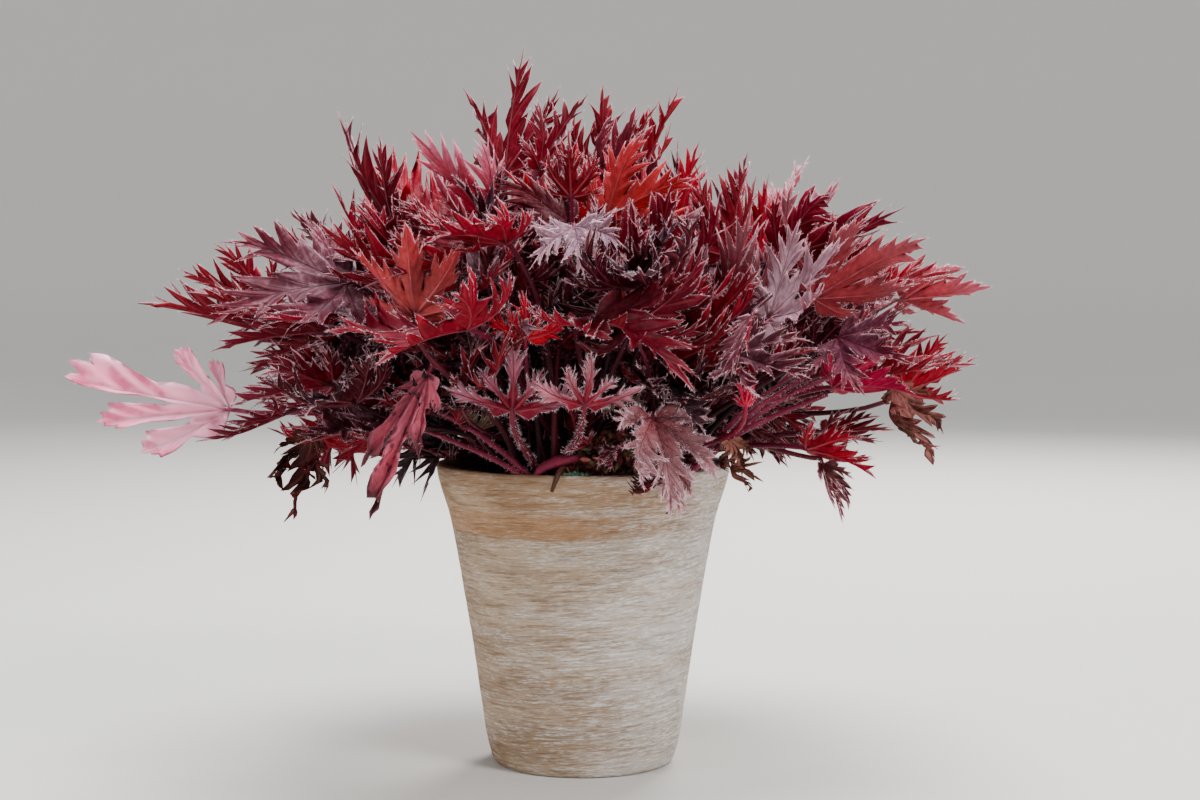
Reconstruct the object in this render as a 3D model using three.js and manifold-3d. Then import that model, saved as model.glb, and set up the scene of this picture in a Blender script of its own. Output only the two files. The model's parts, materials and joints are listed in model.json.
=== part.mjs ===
// Potted coral bells: a flared clay pot, the soil in it, seven leafy crowns and the single long leaves
// that stand among them. Millimetres, +Z up, origin at the centre of the underside of the pot.

import * as THREE from "three";
import Module from "manifold-3d";
import { mergeVertices } from "three/addons/utils/BufferGeometryUtils.js";

// Colours and finish
const POT_COLOR = 0xc9b8a2;
const SOIL_COLOR = 0x2c211b;
const CROWN_COLORS = [0x5e1828, 0x6b2033, 0x54202e, 0x731c2c, 0x4c1c2b, 0x662a3a, 0x5a1a24];
const LEAF_ROUGHNESS = 0.6;
const POT_ROUGHNESS = 0.85;
const SOIL_ROUGHNESS = 0.95;

// Pot
const POT_HEIGHT = 153;
const POT_SIDES = 32;
const POT_FLOOR_THICKNESS = 9;
const POT_INSIDE_HEIGHTS = [66, 115];
const POT_WALL_THICKNESS = 7;
const POT_OUTER_RADIUS_AT = [
  [0, 44.5],
  [1.4, 46.2],
  [12, 49.3],
  [66, 57],
  [115, 65.4],
  [128, 68],
  [134, 70],
  [142, 72.8],
  [150.8, 74.8],
];
const LIP_TOP_RADIUS = 73.6;
const LIP_INNER_RADIUS = 68.4;
const LIP_BEVEL_WIDTH = 0.9;
const LIP_BEVEL_DEPTH = 1.2;
const DRAIN_HOLES = 3;
const DRAIN_HOLE_RADIUS = 4;
const DRAIN_HOLE_OFFSET = 24;
const DRAIN_HOLE_SIDES = 10;
const DRAIN_HOLE_OVERRUN = 1;

// Soil
const SOIL_TOP = 143;
const SOIL_MOUND = 3;
const SOIL_SHOULDER_RADIUS_SHARE = 0.6;
const SOIL_SHOULDER_HEIGHT_SHARE = 0.7;
const SEAT_GAP = 0.3;
const SEAT_SLANT = 1.1;
const STEM_DEPTH = 10;
const STEM_HOLE_RADIUS = 2.9;
const STEM_HOLE_SIDES = 4;
const STEM_HOLE_HEADROOM = 5;
const FOOT_HEIGHT = 148;

// Crowns
const CROWN_RING_RADIUS = 38;
const CROWNS_IN_RING = 6;
const CROWN_RING_START = 30;
const RING_CROWN_WIDTH = 66;
const RING_CROWN_ELEVATIONS = [2, 58];
const MIDDLE_CROWN_ELEVATIONS = [55, 88];
const CROWN_ROOT_DEPTH = 20;
const CROWN_RADIUS_BELOW = 8;
const CROWN_RADIUS_ABOVE = 6.5;
const CROWN_TOP = 167;
const CROWN_SIDES = 6;
const LEAVES_ON_CROWN = 15;
const CROWDED_RADIUS = 24;
const CROWDED_HEIGHT = 40;
const ROOT_LOWEST = 149.5;
const ROOT_HIGHEST = 164.5;
const ROOT_INSET = 3;
const ROOT_FAN = 2.6;
const GOLDEN_SHARE = 0.618034;

// Mound of foliage: how far the leaf tips reach from its heart at each elevation
const MOUND_HEART = 150;
const MOUND_REACH_AT = [
  [0, 152],
  [8, 176],
  [14, 200],
  [22, 222],
  [32, 212],
  [45, 194],
  [60, 184],
  [90, 190],
];
const LAYERS = [1, 0.84, 0.98, 0.7, 0.94];
const INNER_LAYER = 0.9;
const INNER_SIZE_SHARE = 0.6;
const FOLIAGE_FLOOR = 156;

// Leaf
const BLADE_THICKNESS = 0.9;
const STEM_SIDES = 3;
const STEM_TOP_RADIUS = 1.2;
const STEM_ROOT_RADIUS = 1.7;
const STEM_SET_BACK = 2.4;
const STEM_STEPS = 3;
const CUP_WIDTH_SHARE = 0.8;
const RIPPLES_IN_A_RADIAN = 3;
const CLEARANCE = 0.3;
const TRIES = 100;
const CROWN_TRIES = 200;
const TRIES_CLEAR_OF_OWN_CROWN = 70;
const NEARLY_FLAT = 0.01;
const FULL_TURN = 2 * Math.PI;

// Lobes of a blade: angle from the midrib in degrees, reach as a share of the blade's size, and for slim
// ones the half angle at their widest
const BROAD_LOBES = [[-82, 0.6], [-40, 0.88], [0, 1], [40, 0.88], [82, 0.6]];
const LONG_LOBES = [[-68, 0.5], [-32, 0.78], [0, 1], [32, 0.78], [68, 0.5]];
const PINK_LOBES = [[-68, 0.36, 12], [-45, 0.53, 10], [-6, 1, 14], [10, 0.82, 12], [37, 0.64, 12]];
const NARROW_LOBES = [[-54, 0.5], [-22, 0.82], [0, 1], [22, 0.85], [54, 0.55]];
const STRAP_LOBES = [[-36, 0.3, 10], [-14, 0.72, 9], [0, 1, 8], [14, 0.56, 9], [36, 0.3, 10]];
const ARM_LOBES = [[-74, 0.92], [-36, 0.72], [4, 0.9], [42, 0.66], [84, 1]];

// Shares of a lobe's reach, and of the half angle between two lobes
const CUT_REACH = 0.38;
const DEEP_CUT_REACH = 0.24;
const STRAP_CUT_REACH = 0.75;
const OUTER_SINUS_REACH = 0.26;
const OUTER_SINUS_ANGLE = 44;
const TOOTH_REACH = 0.72;
const TOOTH_ANGLE = 0.76;
const NOTCH_REACH = 0.7;
const NOTCH_ANGLE = 0.38;
const MIDRIB_REACH = 0.5;
const WIDEST_HALF_ANGLE = 26;
const TOOTHED_FROM = 0.65;
const INNER_TOOTHED_FROM = 0.9;

// Hollows that the crowns' leaves keep out of, as boxes: one before the arms at the front, and one before
// the stems that fan out on the right
const HOLLOWS = [
  { from: [-80, -230, 140], to: [42, -64, 188] },
  { from: [84, -230, 150], to: [142, -52, 194] },
];

// Ranges that every leaf draws its shape from
const BENDS = [-0.16, 0.22];
const TWISTS = [-0.45, 0.45];
const KEELS = [0.08, 0.26];
const RIPPLES = [0.02, 0.1];
const PHASES = [0, 6.28];
const SWEEPS = [2, 12];
const SWOOPS = [0.2, 0.4];

// Ranges for the single leaves: radians for the foot's swing, degrees for the other angles
const SINGLE_SEED = 7000;
const SINGLE_SEED_STEP = 97;
const SINGLE_FOOT_SWINGS = [-0.5, 0.5];
const SINGLE_FOOT_RADII = [14, 60];
const SINGLE_SHIFTS = [-7, 7];
const SINGLE_TURNS = [-12, 12];
const SINGLE_SPRINGS = [0.2, 0.45];
const SINGLE_LEANS = [5, 35];
const HANGING_LEANS = [60, 80];
const HANGING_BELOW = -30;
const FOOT_SLANT = 0.1;

// Ranges for the leaves of the crowns
const CROWN_SEED_STEP = 100000;
const CROWN_LEAF_SEED_STEP = 131;
const FIRST_SPREAD = 0.5;
const SPREAD_GROWTH = 1.5;
const RANK_SHIFTS = [-0.5, 0.5];
const SWING_SHIFTS = [-0.12, 0.12];
const REACHES = [0.94, 1.03];
const CROWN_LEAF_SIZES = [56, 80];
const CROWN_LEAF_TURNS = [-22, 22];
const CROWN_LEAF_DIPS = [-28, 12];
const CROWN_LEAF_ROLLS = [-50, 50];
const CROWN_LEAF_CUPS = [35, 105];
const CROWN_LEAF_DROOPS = [-12, 24];
const CROWN_LEAF_SPRINGS = [0.22, 0.4];
const CROWN_LEAF_LEANS = [5, 40];
const BROAD_LEAF_SHARE = 0.6;
const TIP_SHARE = 0.94;
const LOWEST_SINE = -0.3;
const ROOT_LIFTS = [35, 80];
const STEEPEST_AIM = 1.3;

// Single long leaves, set by hand. Places in millimetres, angles in degrees.
const SINGLE_LEAVES = [
  { name: "pink_leaf", at: [-176, -20, 181], azimuth: 190, elevation: 6, roll: -62, size: 78,
    cup: 20, droop: 12, lobes: PINK_LOBES, sweep: 0, color: 0xd9929f },
  { name: "dried_leaf_left", at: [-132, -50, 171], azimuth: 242, elevation: -76, roll: 0, size: 42,
    cup: 120, droop: -20, lobes: LONG_LOBES, color: 0x3a1510 },
  { name: "spotted_leaf", at: [-72, -95, 204], azimuth: 212, elevation: -66, roll: -50, size: 73,
    cup: 60, droop: -12, lobes: STRAP_LOBES, sweep: 0, cut: STRAP_CUT_REACH, color: 0x9c3345 },
  { name: "rim_leaf", at: [33, -84, 182], azimuth: 300, elevation: -55, roll: 0, size: 48,
    cup: 40, droop: 20, lobes: BROAD_LOBES, foot: [34, -44], color: 0x8d5f68 },
  { name: "hanging_leaf_right", at: [116, -60, 158], azimuth: 312, elevation: -58, roll: 0, size: 30,
    cup: 60, droop: 10, lobes: NARROW_LOBES, color: 0x9d4338 },
  { name: "dried_leaf_right", at: [152, -45, 193], azimuth: 320, elevation: -66, roll: 20, size: 42,
    cup: 120, droop: -10, lobes: LONG_LOBES, color: 0x6b4436 },
  { name: "red_leaf_right", at: [161, -10, 189], azimuth: 4, elevation: 20, roll: -60, size: 42,
    cup: 40, droop: 0, lobes: BROAD_LOBES, color: 0x8f1120 },
  { name: "crimson_leaf_right", at: [120, -62, 195], azimuth: 336, elevation: 4, roll: -30, size: 42,
    cup: 60, droop: 0, lobes: BROAD_LOBES, color: 0xa8143a },
  { name: "orange_leaf_left", at: [-77, -112, 231], azimuth: 262, elevation: 66, roll: 0, size: 46,
    cup: 50, droop: 0, lobes: BROAD_LOBES, color: 0x9e3529 },
  { name: "orange_leaf_top", at: [11, -60, 276], azimuth: 341, elevation: 30, roll: -60, size: 52,
    cup: 40, droop: 20, lobes: BROAD_LOBES, color: 0xb2351f },
  { name: "orange_leaf_right", at: [109, -75, 238], azimuth: 337, elevation: 30, roll: -60, size: 63,
    cup: 50, droop: 0, lobes: LONG_LOBES, color: 0xa83c2e },
  { name: "orange_leaf_far_right", at: [158, -20, 236], azimuth: 6, elevation: 6, roll: -50, size: 46,
    cup: 60, droop: 10, lobes: LONG_LOBES, color: 0xa53a30 },
  { name: "tallest_leaf", at: [-40, 15, 298], azimuth: 57, elevation: 80, roll: 180, size: 67,
    cup: 60, droop: 0, lobes: LONG_LOBES, color: 0x5e1a2a },
  { name: "lilac_leaf", at: [87, -88, 229], azimuth: 330, elevation: 42, roll: 55, size: 54,
    cup: 40, droop: 0, lobes: BROAD_LOBES, color: 0x9b7d8e },
  { name: "silver_leaf", at: [-4, -95, 272], azimuth: 275, elevation: -20, roll: 10, size: 40,
    cup: 60, droop: 40, lobes: BROAD_LOBES, foot: [6, -26], color: 0xa795a0 },
  { name: "scarlet_leaf", at: [-27, -98, 220], azimuth: 272, elevation: 68, roll: 0, size: 25,
    cup: 60, droop: 0, lobes: ARM_LOBES, cut: DEEP_CUT_REACH, color: 0xc4152c },
  { name: "front_leaf_wide", at: [-33, -96, 186], azimuth: 267, elevation: 70, roll: 0, size: 36,
    cup: 20, droop: 0, lobes: ARM_LOBES, cut: DEEP_CUT_REACH, foot: [-22, -56], thickness: 1.35,
    color: 0x9a4a55 },
  { name: "front_leaf_small", at: [-3, -92, 190], azimuth: 286, elevation: 66, roll: 0, size: 30,
    cup: 30, droop: 0, lobes: ARM_LOBES, cut: DEEP_CUT_REACH, foot: [-10, -52], color: 0x98485a },
  { name: "top_left_leaf", at: [-92, -15, 270], azimuth: 195, elevation: 54, roll: 10, size: 66,
    cup: 50, droop: -10, lobes: LONG_LOBES, color: 0x641f2d },
  { name: "top_leaf_red", at: [10, -5, 290], azimuth: 270, elevation: 82, roll: 0, size: 52,
    cup: 40, droop: 0, lobes: LONG_LOBES, color: 0x8a1222 },
  { name: "top_leaf_crimson", at: [25, 15, 290], azimuth: 14, elevation: 64, roll: -50, size: 58,
    cup: 50, droop: 0, lobes: LONG_LOBES, color: 0x8c2a3c },
  { name: "top_leaf_mauve", at: [-22, -30, 300], azimuth: 17, elevation: 62, roll: -40, size: 44,
    cup: 50, droop: 0, lobes: LONG_LOBES, color: 0xa56a7c },
  { name: "star_leaf", at: [-4, -62, 288], azimuth: 262, elevation: 72, roll: 0, size: 28,
    cup: 30, droop: 0, lobes: BROAD_LOBES, color: 0x7c0f1c },
  { name: "upright_leaf_right", at: [70, -48, 258], azimuth: 320, elevation: 78, roll: 0, size: 50,
    cup: 50, droop: 0, lobes: BROAD_LOBES, color: 0x7d3a47 },
  { name: "left_leaf_long", at: [-149, -25, 220], azimuth: 190, elevation: 14, roll: 20, size: 70,
    cup: 70, droop: 0, lobes: LONG_LOBES, color: 0x6d1a2a },
  { name: "left_leaf_brown", at: [-159, 0, 235], azimuth: 186, elevation: 20, roll: 40, size: 46,
    cup: 60, droop: 0, lobes: BROAD_LOBES, color: 0x7a2a2e },
  { name: "left_leaf_low", at: [-148, -35, 180], azimuth: 200, elevation: -22, roll: 20, size: 42,
    cup: 70, droop: 10, lobes: LONG_LOBES, color: 0x6d2a3c },
  { name: "left_leaf_dark", at: [-121, -55, 196], azimuth: 200, elevation: -8, roll: 30, size: 52,
    cup: 60, droop: 0, lobes: BROAD_LOBES, color: 0x4b2130 },
  { name: "right_leaf_low", at: [104, -60, 162], azimuth: 332, elevation: -10, roll: -30, size: 38,
    cup: 60, droop: 10, lobes: BROAD_LOBES, color: 0x83152a },
  { name: "right_leaf_lace", at: [118, -30, 171], azimuth: 356, elevation: 2, roll: -40, size: 36,
    cup: 50, droop: 0, lobes: NARROW_LOBES, color: 0x5c2a38 },
  { name: "right_leaf_dark", at: [112, -46, 213], azimuth: 342, elevation: 14, roll: -40, size: 50,
    cup: 90, droop: 0, lobes: LONG_LOBES, color: 0x4a1a1c },
  { name: "top_right_leaf", at: [100, 5, 264], azimuth: 40, elevation: 78, roll: -30, size: 44,
    cup: 50, droop: 0, lobes: LONG_LOBES, color: 0x8f3548 },
  { name: "red_bud", at: [76, -96, 188], azimuth: 276, elevation: 60, roll: 0, size: 18,
    cup: 150, droop: 0, lobes: NARROW_LOBES, color: 0xc11a3a },
];

const wasm = await Module();
wasm.setup();

const UP = new THREE.Vector3(0, 0, 1);
const radians = THREE.MathUtils.degToRad;
const lerp = THREE.MathUtils.lerp;

// Solids and meshes
function solidOf(geometry) {
  const bare = geometry.clone();
  bare.deleteAttribute("normal");
  bare.deleteAttribute("uv");
  const merged = mergeVertices(bare, 1e-4);
  const corners = [];
  const index = merged.index.array;
  for (let i = 0; i < index.length; i += 3) {
    const [a, b, c] = [index[i], index[i + 1], index[i + 2]];
    if (a !== b && b !== c && c !== a) corners.push(a, b, c);
  }
  return new wasm.Manifold(new wasm.Mesh({
    numProp: 3,
    vertProperties: Float32Array.from(merged.attributes.position.array),
    triVerts: Uint32Array.from(corners),
  }));
}

function meshOf(name, solid, color, roughness) {
  const { numProp, vertProperties, triVerts } = solid.getMesh();
  const geometry = new THREE.BufferGeometry();
  const positions = new Float32Array((vertProperties.length / numProp) * 3);
  for (let i = 0; i < positions.length / 3; i += 1) {
    positions.set(vertProperties.subarray(i * numProp, i * numProp + 3), i * 3);
  }
  geometry.setAttribute("position", new THREE.BufferAttribute(positions, 3));
  geometry.setIndex(new THREE.BufferAttribute(Uint32Array.from(triVerts), 1));
  geometry.computeVertexNormals();
  const material = new THREE.MeshStandardMaterial({ color, roughness, metalness: 0 });
  const mesh = new THREE.Mesh(geometry, material);
  mesh.name = name;
  return mesh;
}

function turned(profile, sides) {
  const geometry = new THREE.LatheGeometry(profile.map(([r, z]) => new THREE.Vector2(r, z)), sides);
  return solidOf(geometry.rotateX(Math.PI / 2));
}

function post(x, y, bottom, top, radiusBelow, radiusAbove, sides) {
  const geometry = new THREE.CylinderGeometry(radiusAbove, radiusBelow, top - bottom, sides);
  return solidOf(geometry.rotateX(Math.PI / 2).translate(x, y, (bottom + top) / 2));
}

function valueAt(table, place) {
  for (let i = 1; i < table.length; i += 1) {
    const [before, low] = table[i - 1];
    const [after, high] = table[i];
    if (place <= after) return lerp(low, high, Math.max(0, (place - before) / (after - before)));
  }
  return table[table.length - 1][1];
}

// Seeded draws, so that each build grows the same plant
function randomStream(seed) {
  let state = seed >>> 0;
  return () => {
    state = (state + 0x6d2b79f5) >>> 0;
    let t = state;
    t = Math.imul(t ^ (t >>> 15), t | 1);
    t ^= t + Math.imul(t ^ (t >>> 7), t | 61);
    return ((t ^ (t >>> 14)) >>> 0) / 4294967296;
  };
}

function drawsFrom(random) {
  return ([low, high]) => low + (high - low) * random();
}

// Blade: the lobes with the sinuses between them, in polar coordinates about the leaf's junction
function lobesOf(leaf) {
  const last = leaf.lobes.length - 1;
  return leaf.lobes.map(([angle, reach, widest = WIDEST_HALF_ANGLE], i) => {
    const before = i > 0 ? leaf.lobes[i - 1] : [angle - 2 * OUTER_SINUS_ANGLE, reach];
    const after = i < last ? leaf.lobes[i + 1] : [angle + 2 * OUTER_SINUS_ANGLE, reach];
    const shareBefore = i > 0 ? leaf.cut : OUTER_SINUS_REACH;
    const shareAfter = i < last ? leaf.cut : OUTER_SINUS_REACH;
    return {
      angle,
      reach: reach * leaf.size,
      right: (angle - before[0]) / 2,
      left: (after[0] - angle) / 2,
      rightSinus: shareBefore * Math.min(reach, before[1]) * leaf.size,
      leftSinus: shareAfter * Math.min(reach, after[1]) * leaf.size,
      bend: leaf.bends[i],
      twist: leaf.twists[i],
      toothed: reach > leaf.toothedFrom,
      widest,
    };
  });
}

// Where a point of a lobe lies in the leaf's own frame: x along the midrib, y to its left, z upwards
function bladePoint(leaf, lobe, radius, angle) {
  const swing = angle - lobe.angle;
  const across = Math.abs(swing) / (swing < 0 ? lobe.right : lobe.left);
  const start = Math.max(lobe.rightSinus, lobe.leftSinus);
  const past = Math.max(0, (radius - start) / (lobe.reach - start));
  const turned = radians(angle - Math.sign(lobe.angle) * leaf.sweep * past * past);
  const wave = Math.sin(RIPPLES_IN_A_RADIAN * radians(angle) + leaf.phase);
  const ripple = leaf.ripple * wave * (radius / leaf.size);
  const height = radius * (leaf.keel * across + ripple)
    + lobe.bend * lobe.reach * past * past
    + lobe.twist * radius * radians(swing) * past;
  const along = radius * Math.cos(turned);
  const aside = radius * Math.sin(turned);
  const cupRadius = (CUP_WIDTH_SHARE * leaf.size) / radians(leaf.cup || NEARLY_FLAT);
  const y = (cupRadius - height) * Math.sin(aside / cupRadius);
  const lifted = cupRadius - (cupRadius - height) * Math.cos(aside / cupRadius);
  const droopRadius = leaf.size / radians(leaf.droop || NEARLY_FLAT);
  const x = (droopRadius + lifted) * Math.sin(along / droopRadius);
  const z = (droopRadius + lifted) * Math.cos(along / droopRadius) - droopRadius;
  return new THREE.Vector3(x, y, z);
}

// The leaf's own axes in the plant: heading along the midrib, side to its left, face out of the upper side
function leafAxes(leaf) {
  const azimuth = radians(leaf.azimuth);
  const elevation = radians(leaf.elevation);
  const roll = radians(leaf.roll);
  const heading = new THREE.Vector3(
    Math.cos(elevation) * Math.cos(azimuth),
    Math.cos(elevation) * Math.sin(azimuth),
    Math.sin(elevation),
  );
  const level = new THREE.Vector3(-Math.sin(azimuth), Math.cos(azimuth), 0);
  const above = heading.clone().cross(level);
  const side = level.clone().multiplyScalar(Math.cos(roll)).addScaledVector(above, Math.sin(roll));
  const face = heading.clone().cross(side);
  return { heading, side, face };
}

// Rings of three points round the leaf's stem, from the blade down to the root
function stemRings(leaf, axes, grow) {
  const { heading, side, face } = axes;
  const lean = radians(leaf.lean);
  const top = new THREE.Vector3(...leaf.at).addScaledVector(heading, -STEM_SET_BACK);
  const arriving = heading.clone().multiplyScalar(Math.cos(lean)).addScaledVector(face, Math.sin(lean));
  const foot = new THREE.Vector3(...leaf.foot);
  const stretch = top.distanceTo(foot);
  const rise = new THREE.Vector3(...leaf.rise).normalize();
  const curve = new THREE.CubicBezierCurve3(
    top,
    top.clone().addScaledVector(arriving, -leaf.swoop * stretch),
    foot.clone().addScaledVector(rise, leaf.spring * stretch),
    foot,
  );
  const centres = [];
  const tangents = [];
  for (let step = 0; step <= STEM_STEPS; step += 1) {
    centres.push(curve.getPoint(step / STEM_STEPS));
    tangents.push(curve.getTangent(step / STEM_STEPS).negate());
  }
  if (leaf.root) {
    centres.push(new THREE.Vector3(...leaf.root));
    tangents.push(UP.clone());
  }
  let out = face.clone().multiplyScalar(Math.cos(lean / 2)).addScaledVector(heading, -Math.sin(lean / 2));
  let across = side.clone();
  let tangent = out.clone().cross(across).negate();
  return centres.map((centre, i) => {
    if (i > 0) {
      const turn = new THREE.Quaternion().setFromUnitVectors(tangent, tangents[i]);
      out = out.clone().applyQuaternion(turn);
      across = across.clone().applyQuaternion(turn);
      tangent = tangents[i];
    }
    const slimmed = lerp(STEM_TOP_RADIUS, STEM_ROOT_RADIUS, Math.min(1, i / STEM_STEPS));
    const radius = slimmed * (leaf.thickness || 1) + grow;
    return [0, 1, 2].map((corner) => {
      const turn = (FULL_TURN * corner) / STEM_SIDES;
      return centre.clone()
        .addScaledVector(out, radius * Math.cos(turn))
        .addScaledVector(across, radius * Math.sin(turn));
    });
  });
}

// A whole leaf as one closed solid: the blade, thin and pointed at its teeth, and the stem that runs into it
function leafSolid(leaf, grow = 0) {
  const axes = leafAxes(leaf);
  const origin = new THREE.Vector3(...leaf.at);
  const place = (point) => origin.clone()
    .addScaledVector(axes.heading, point.x)
    .addScaledVector(axes.side, point.y)
    .addScaledVector(axes.face, point.z);

  const middle = [new THREE.Vector3(0, 0, 0)];
  const sharp = [false];
  const faces = [];
  const rim = [];
  const add = (point, isSharp) => {
    middle.push(point);
    sharp.push(isSharp);
    return middle.length - 1;
  };
  const lobes = lobesOf(leaf);
  let sinus = add(bladePoint(leaf, lobes[0], lobes[0].rightSinus, lobes[0].angle - lobes[0].right), false);
  const firstSinus = sinus;
  rim.push(sinus);
  for (const lobe of lobes) {
    const at = (share, angleShare, side) => {
      const halfAngle = Math.min(side < 0 ? lobe.right : lobe.left, lobe.widest);
      return bladePoint(leaf, lobe, share * lobe.reach, lobe.angle + side * angleShare * halfAngle);
    };
    const margin = [];
    if (lobe.toothed) {
      margin.push(add(at(TOOTH_REACH, TOOTH_ANGLE, -1), true));
      margin.push(add(at(NOTCH_REACH, NOTCH_ANGLE, -1), false));
    }
    margin.push(add(at(1, 0, 1), true));
    if (lobe.toothed) {
      margin.push(add(at(NOTCH_REACH, NOTCH_ANGLE, 1), false));
      margin.push(add(at(TOOTH_REACH, TOOTH_ANGLE, 1), true));
    }
    const nextSinus = add(bladePoint(leaf, lobe, lobe.leftSinus, lobe.angle + lobe.left), false);
    const edge = [sinus, ...margin, nextSinus];
    const hub = lobe.toothed ? add(at(MIDRIB_REACH, 0, 1), false) : 0;
    if (lobe.toothed) faces.push([0, sinus, hub], [0, hub, nextSinus]);
    for (let i = 1; i < edge.length; i += 1) faces.push([hub, edge[i - 1], edge[i]]);
    rim.push(...margin, nextSinus);
    sinus = nextSinus;
  }

  const normals = middle.map(() => new THREE.Vector3());
  for (const [a, b, c] of faces) {
    const across = middle[b].clone().sub(middle[a]).cross(middle[c].clone().sub(middle[a]));
    for (const corner of [a, b, c]) normals[corner].add(across);
  }
  const half = BLADE_THICKNESS / 2 + grow;
  const vertices = [];
  const upper = [];
  const lower = [];
  middle.forEach((point, i) => {
    const lift = normals[i].normalize().multiplyScalar(half);
    upper.push(vertices.push(place(sharp[i] ? point : point.clone().add(lift))) - 1);
    lower.push(sharp[i] ? upper[i] : vertices.push(place(point.clone().sub(lift))) - 1);
  });
  const triangles = [];
  const face = (a, b, c) => {
    if (a !== b && b !== c && c !== a) triangles.push(a, b, c);
  };
  for (const [a, b, c] of faces) {
    face(upper[a], upper[b], upper[c]);
    face(lower[a], lower[c], lower[b]);
  }
  for (let i = 1; i < rim.length; i += 1) {
    face(upper[rim[i]], upper[rim[i - 1]], lower[rim[i - 1]]);
    face(upper[rim[i]], lower[rim[i - 1]], lower[rim[i]]);
  }

  const rings = stemRings(leaf, axes, grow).map((ring) => ring.map((point) => vertices.push(point) - 1));
  const [over, left, right] = rings[0];
  face(upper[0], upper[sinus], left);
  face(upper[0], left, over);
  face(upper[0], over, right);
  face(upper[0], right, upper[firstSinus]);
  face(lower[0], left, lower[sinus]);
  face(lower[0], right, left);
  face(lower[0], lower[firstSinus], right);
  face(left, upper[sinus], lower[sinus]);
  face(right, lower[firstSinus], upper[firstSinus]);
  for (let i = 1; i < rings.length; i += 1) {
    for (let j = 0; j < STEM_SIDES; j += 1) {
      const next = (j + 1) % STEM_SIDES;
      face(rings[i - 1][j], rings[i - 1][next], rings[i][next]);
      face(rings[i - 1][j], rings[i][next], rings[i][j]);
    }
  }
  face(...rings[rings.length - 1]);

  const geometry = new THREE.BufferGeometry().setFromPoints(vertices);
  geometry.setIndex(triangles);
  return solidOf(geometry);
}

// Lowest point of the lobes' tips
function lowestTip(leaf) {
  const { heading, side, face } = leafAxes(leaf);
  const heights = lobesOf(leaf).map((lobe) => {
    const tip = bladePoint(leaf, lobe, lobe.reach, lobe.angle);
    return leaf.at[2] + heading.z * tip.x + side.z * tip.y + face.z * tip.z;
  });
  return Math.min(...heights);
}

// Shape that every leaf draws for itself
function drawnShape(draw) {
  return {
    bends: [0, 1, 2, 3, 4].map(() => draw(BENDS)),
    twists: [0, 1, 2, 3, 4].map(() => draw(TWISTS)),
    keel: draw(KEELS),
    ripple: draw(RIPPLES),
    phase: draw(PHASES),
    sweep: draw(SWEEPS),
  };
}

// A single leaf: where its stem leaves the soil is drawn, and the rest is set by hand
function singleLeaf(row, order, attempt) {
  const draw = drawsFrom(randomStream(SINGLE_SEED + order * SINGLE_SEED_STEP + attempt));
  const looseness = attempt / TRIES;
  const outward = Math.atan2(row.at[1], row.at[0]) + draw(SINGLE_FOOT_SWINGS);
  const footing = draw(SINGLE_FOOT_RADII);
  const spot = row.foot || [footing * Math.cos(outward), footing * Math.sin(outward)];
  const foot = [spot[0], spot[1], FOOT_HEIGHT];
  const shape = drawnShape(draw);
  return {
    ...row,
    ...shape,
    sweep: row.sweep ?? shape.sweep,
    at: row.at.map((value) => value + draw(SINGLE_SHIFTS) * looseness),
    azimuth: row.azimuth + draw(SINGLE_TURNS) * looseness,
    elevation: row.elevation + draw(SINGLE_TURNS) * looseness,
    foot,
    root: [foot[0], foot[1], SOIL_TOP - STEM_DEPTH],
    rise: [FOOT_SLANT * Math.cos(outward), FOOT_SLANT * Math.sin(outward), 1],
    spring: draw(SINGLE_SPRINGS),
    swoop: draw(SWOOPS),
    lean: draw(row.elevation < HANGING_BELOW ? HANGING_LEANS : SINGLE_LEANS),
    toothedFrom: TOOTHED_FROM,
    cut: row.cut ?? CUT_REACH,
  };
}

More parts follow.
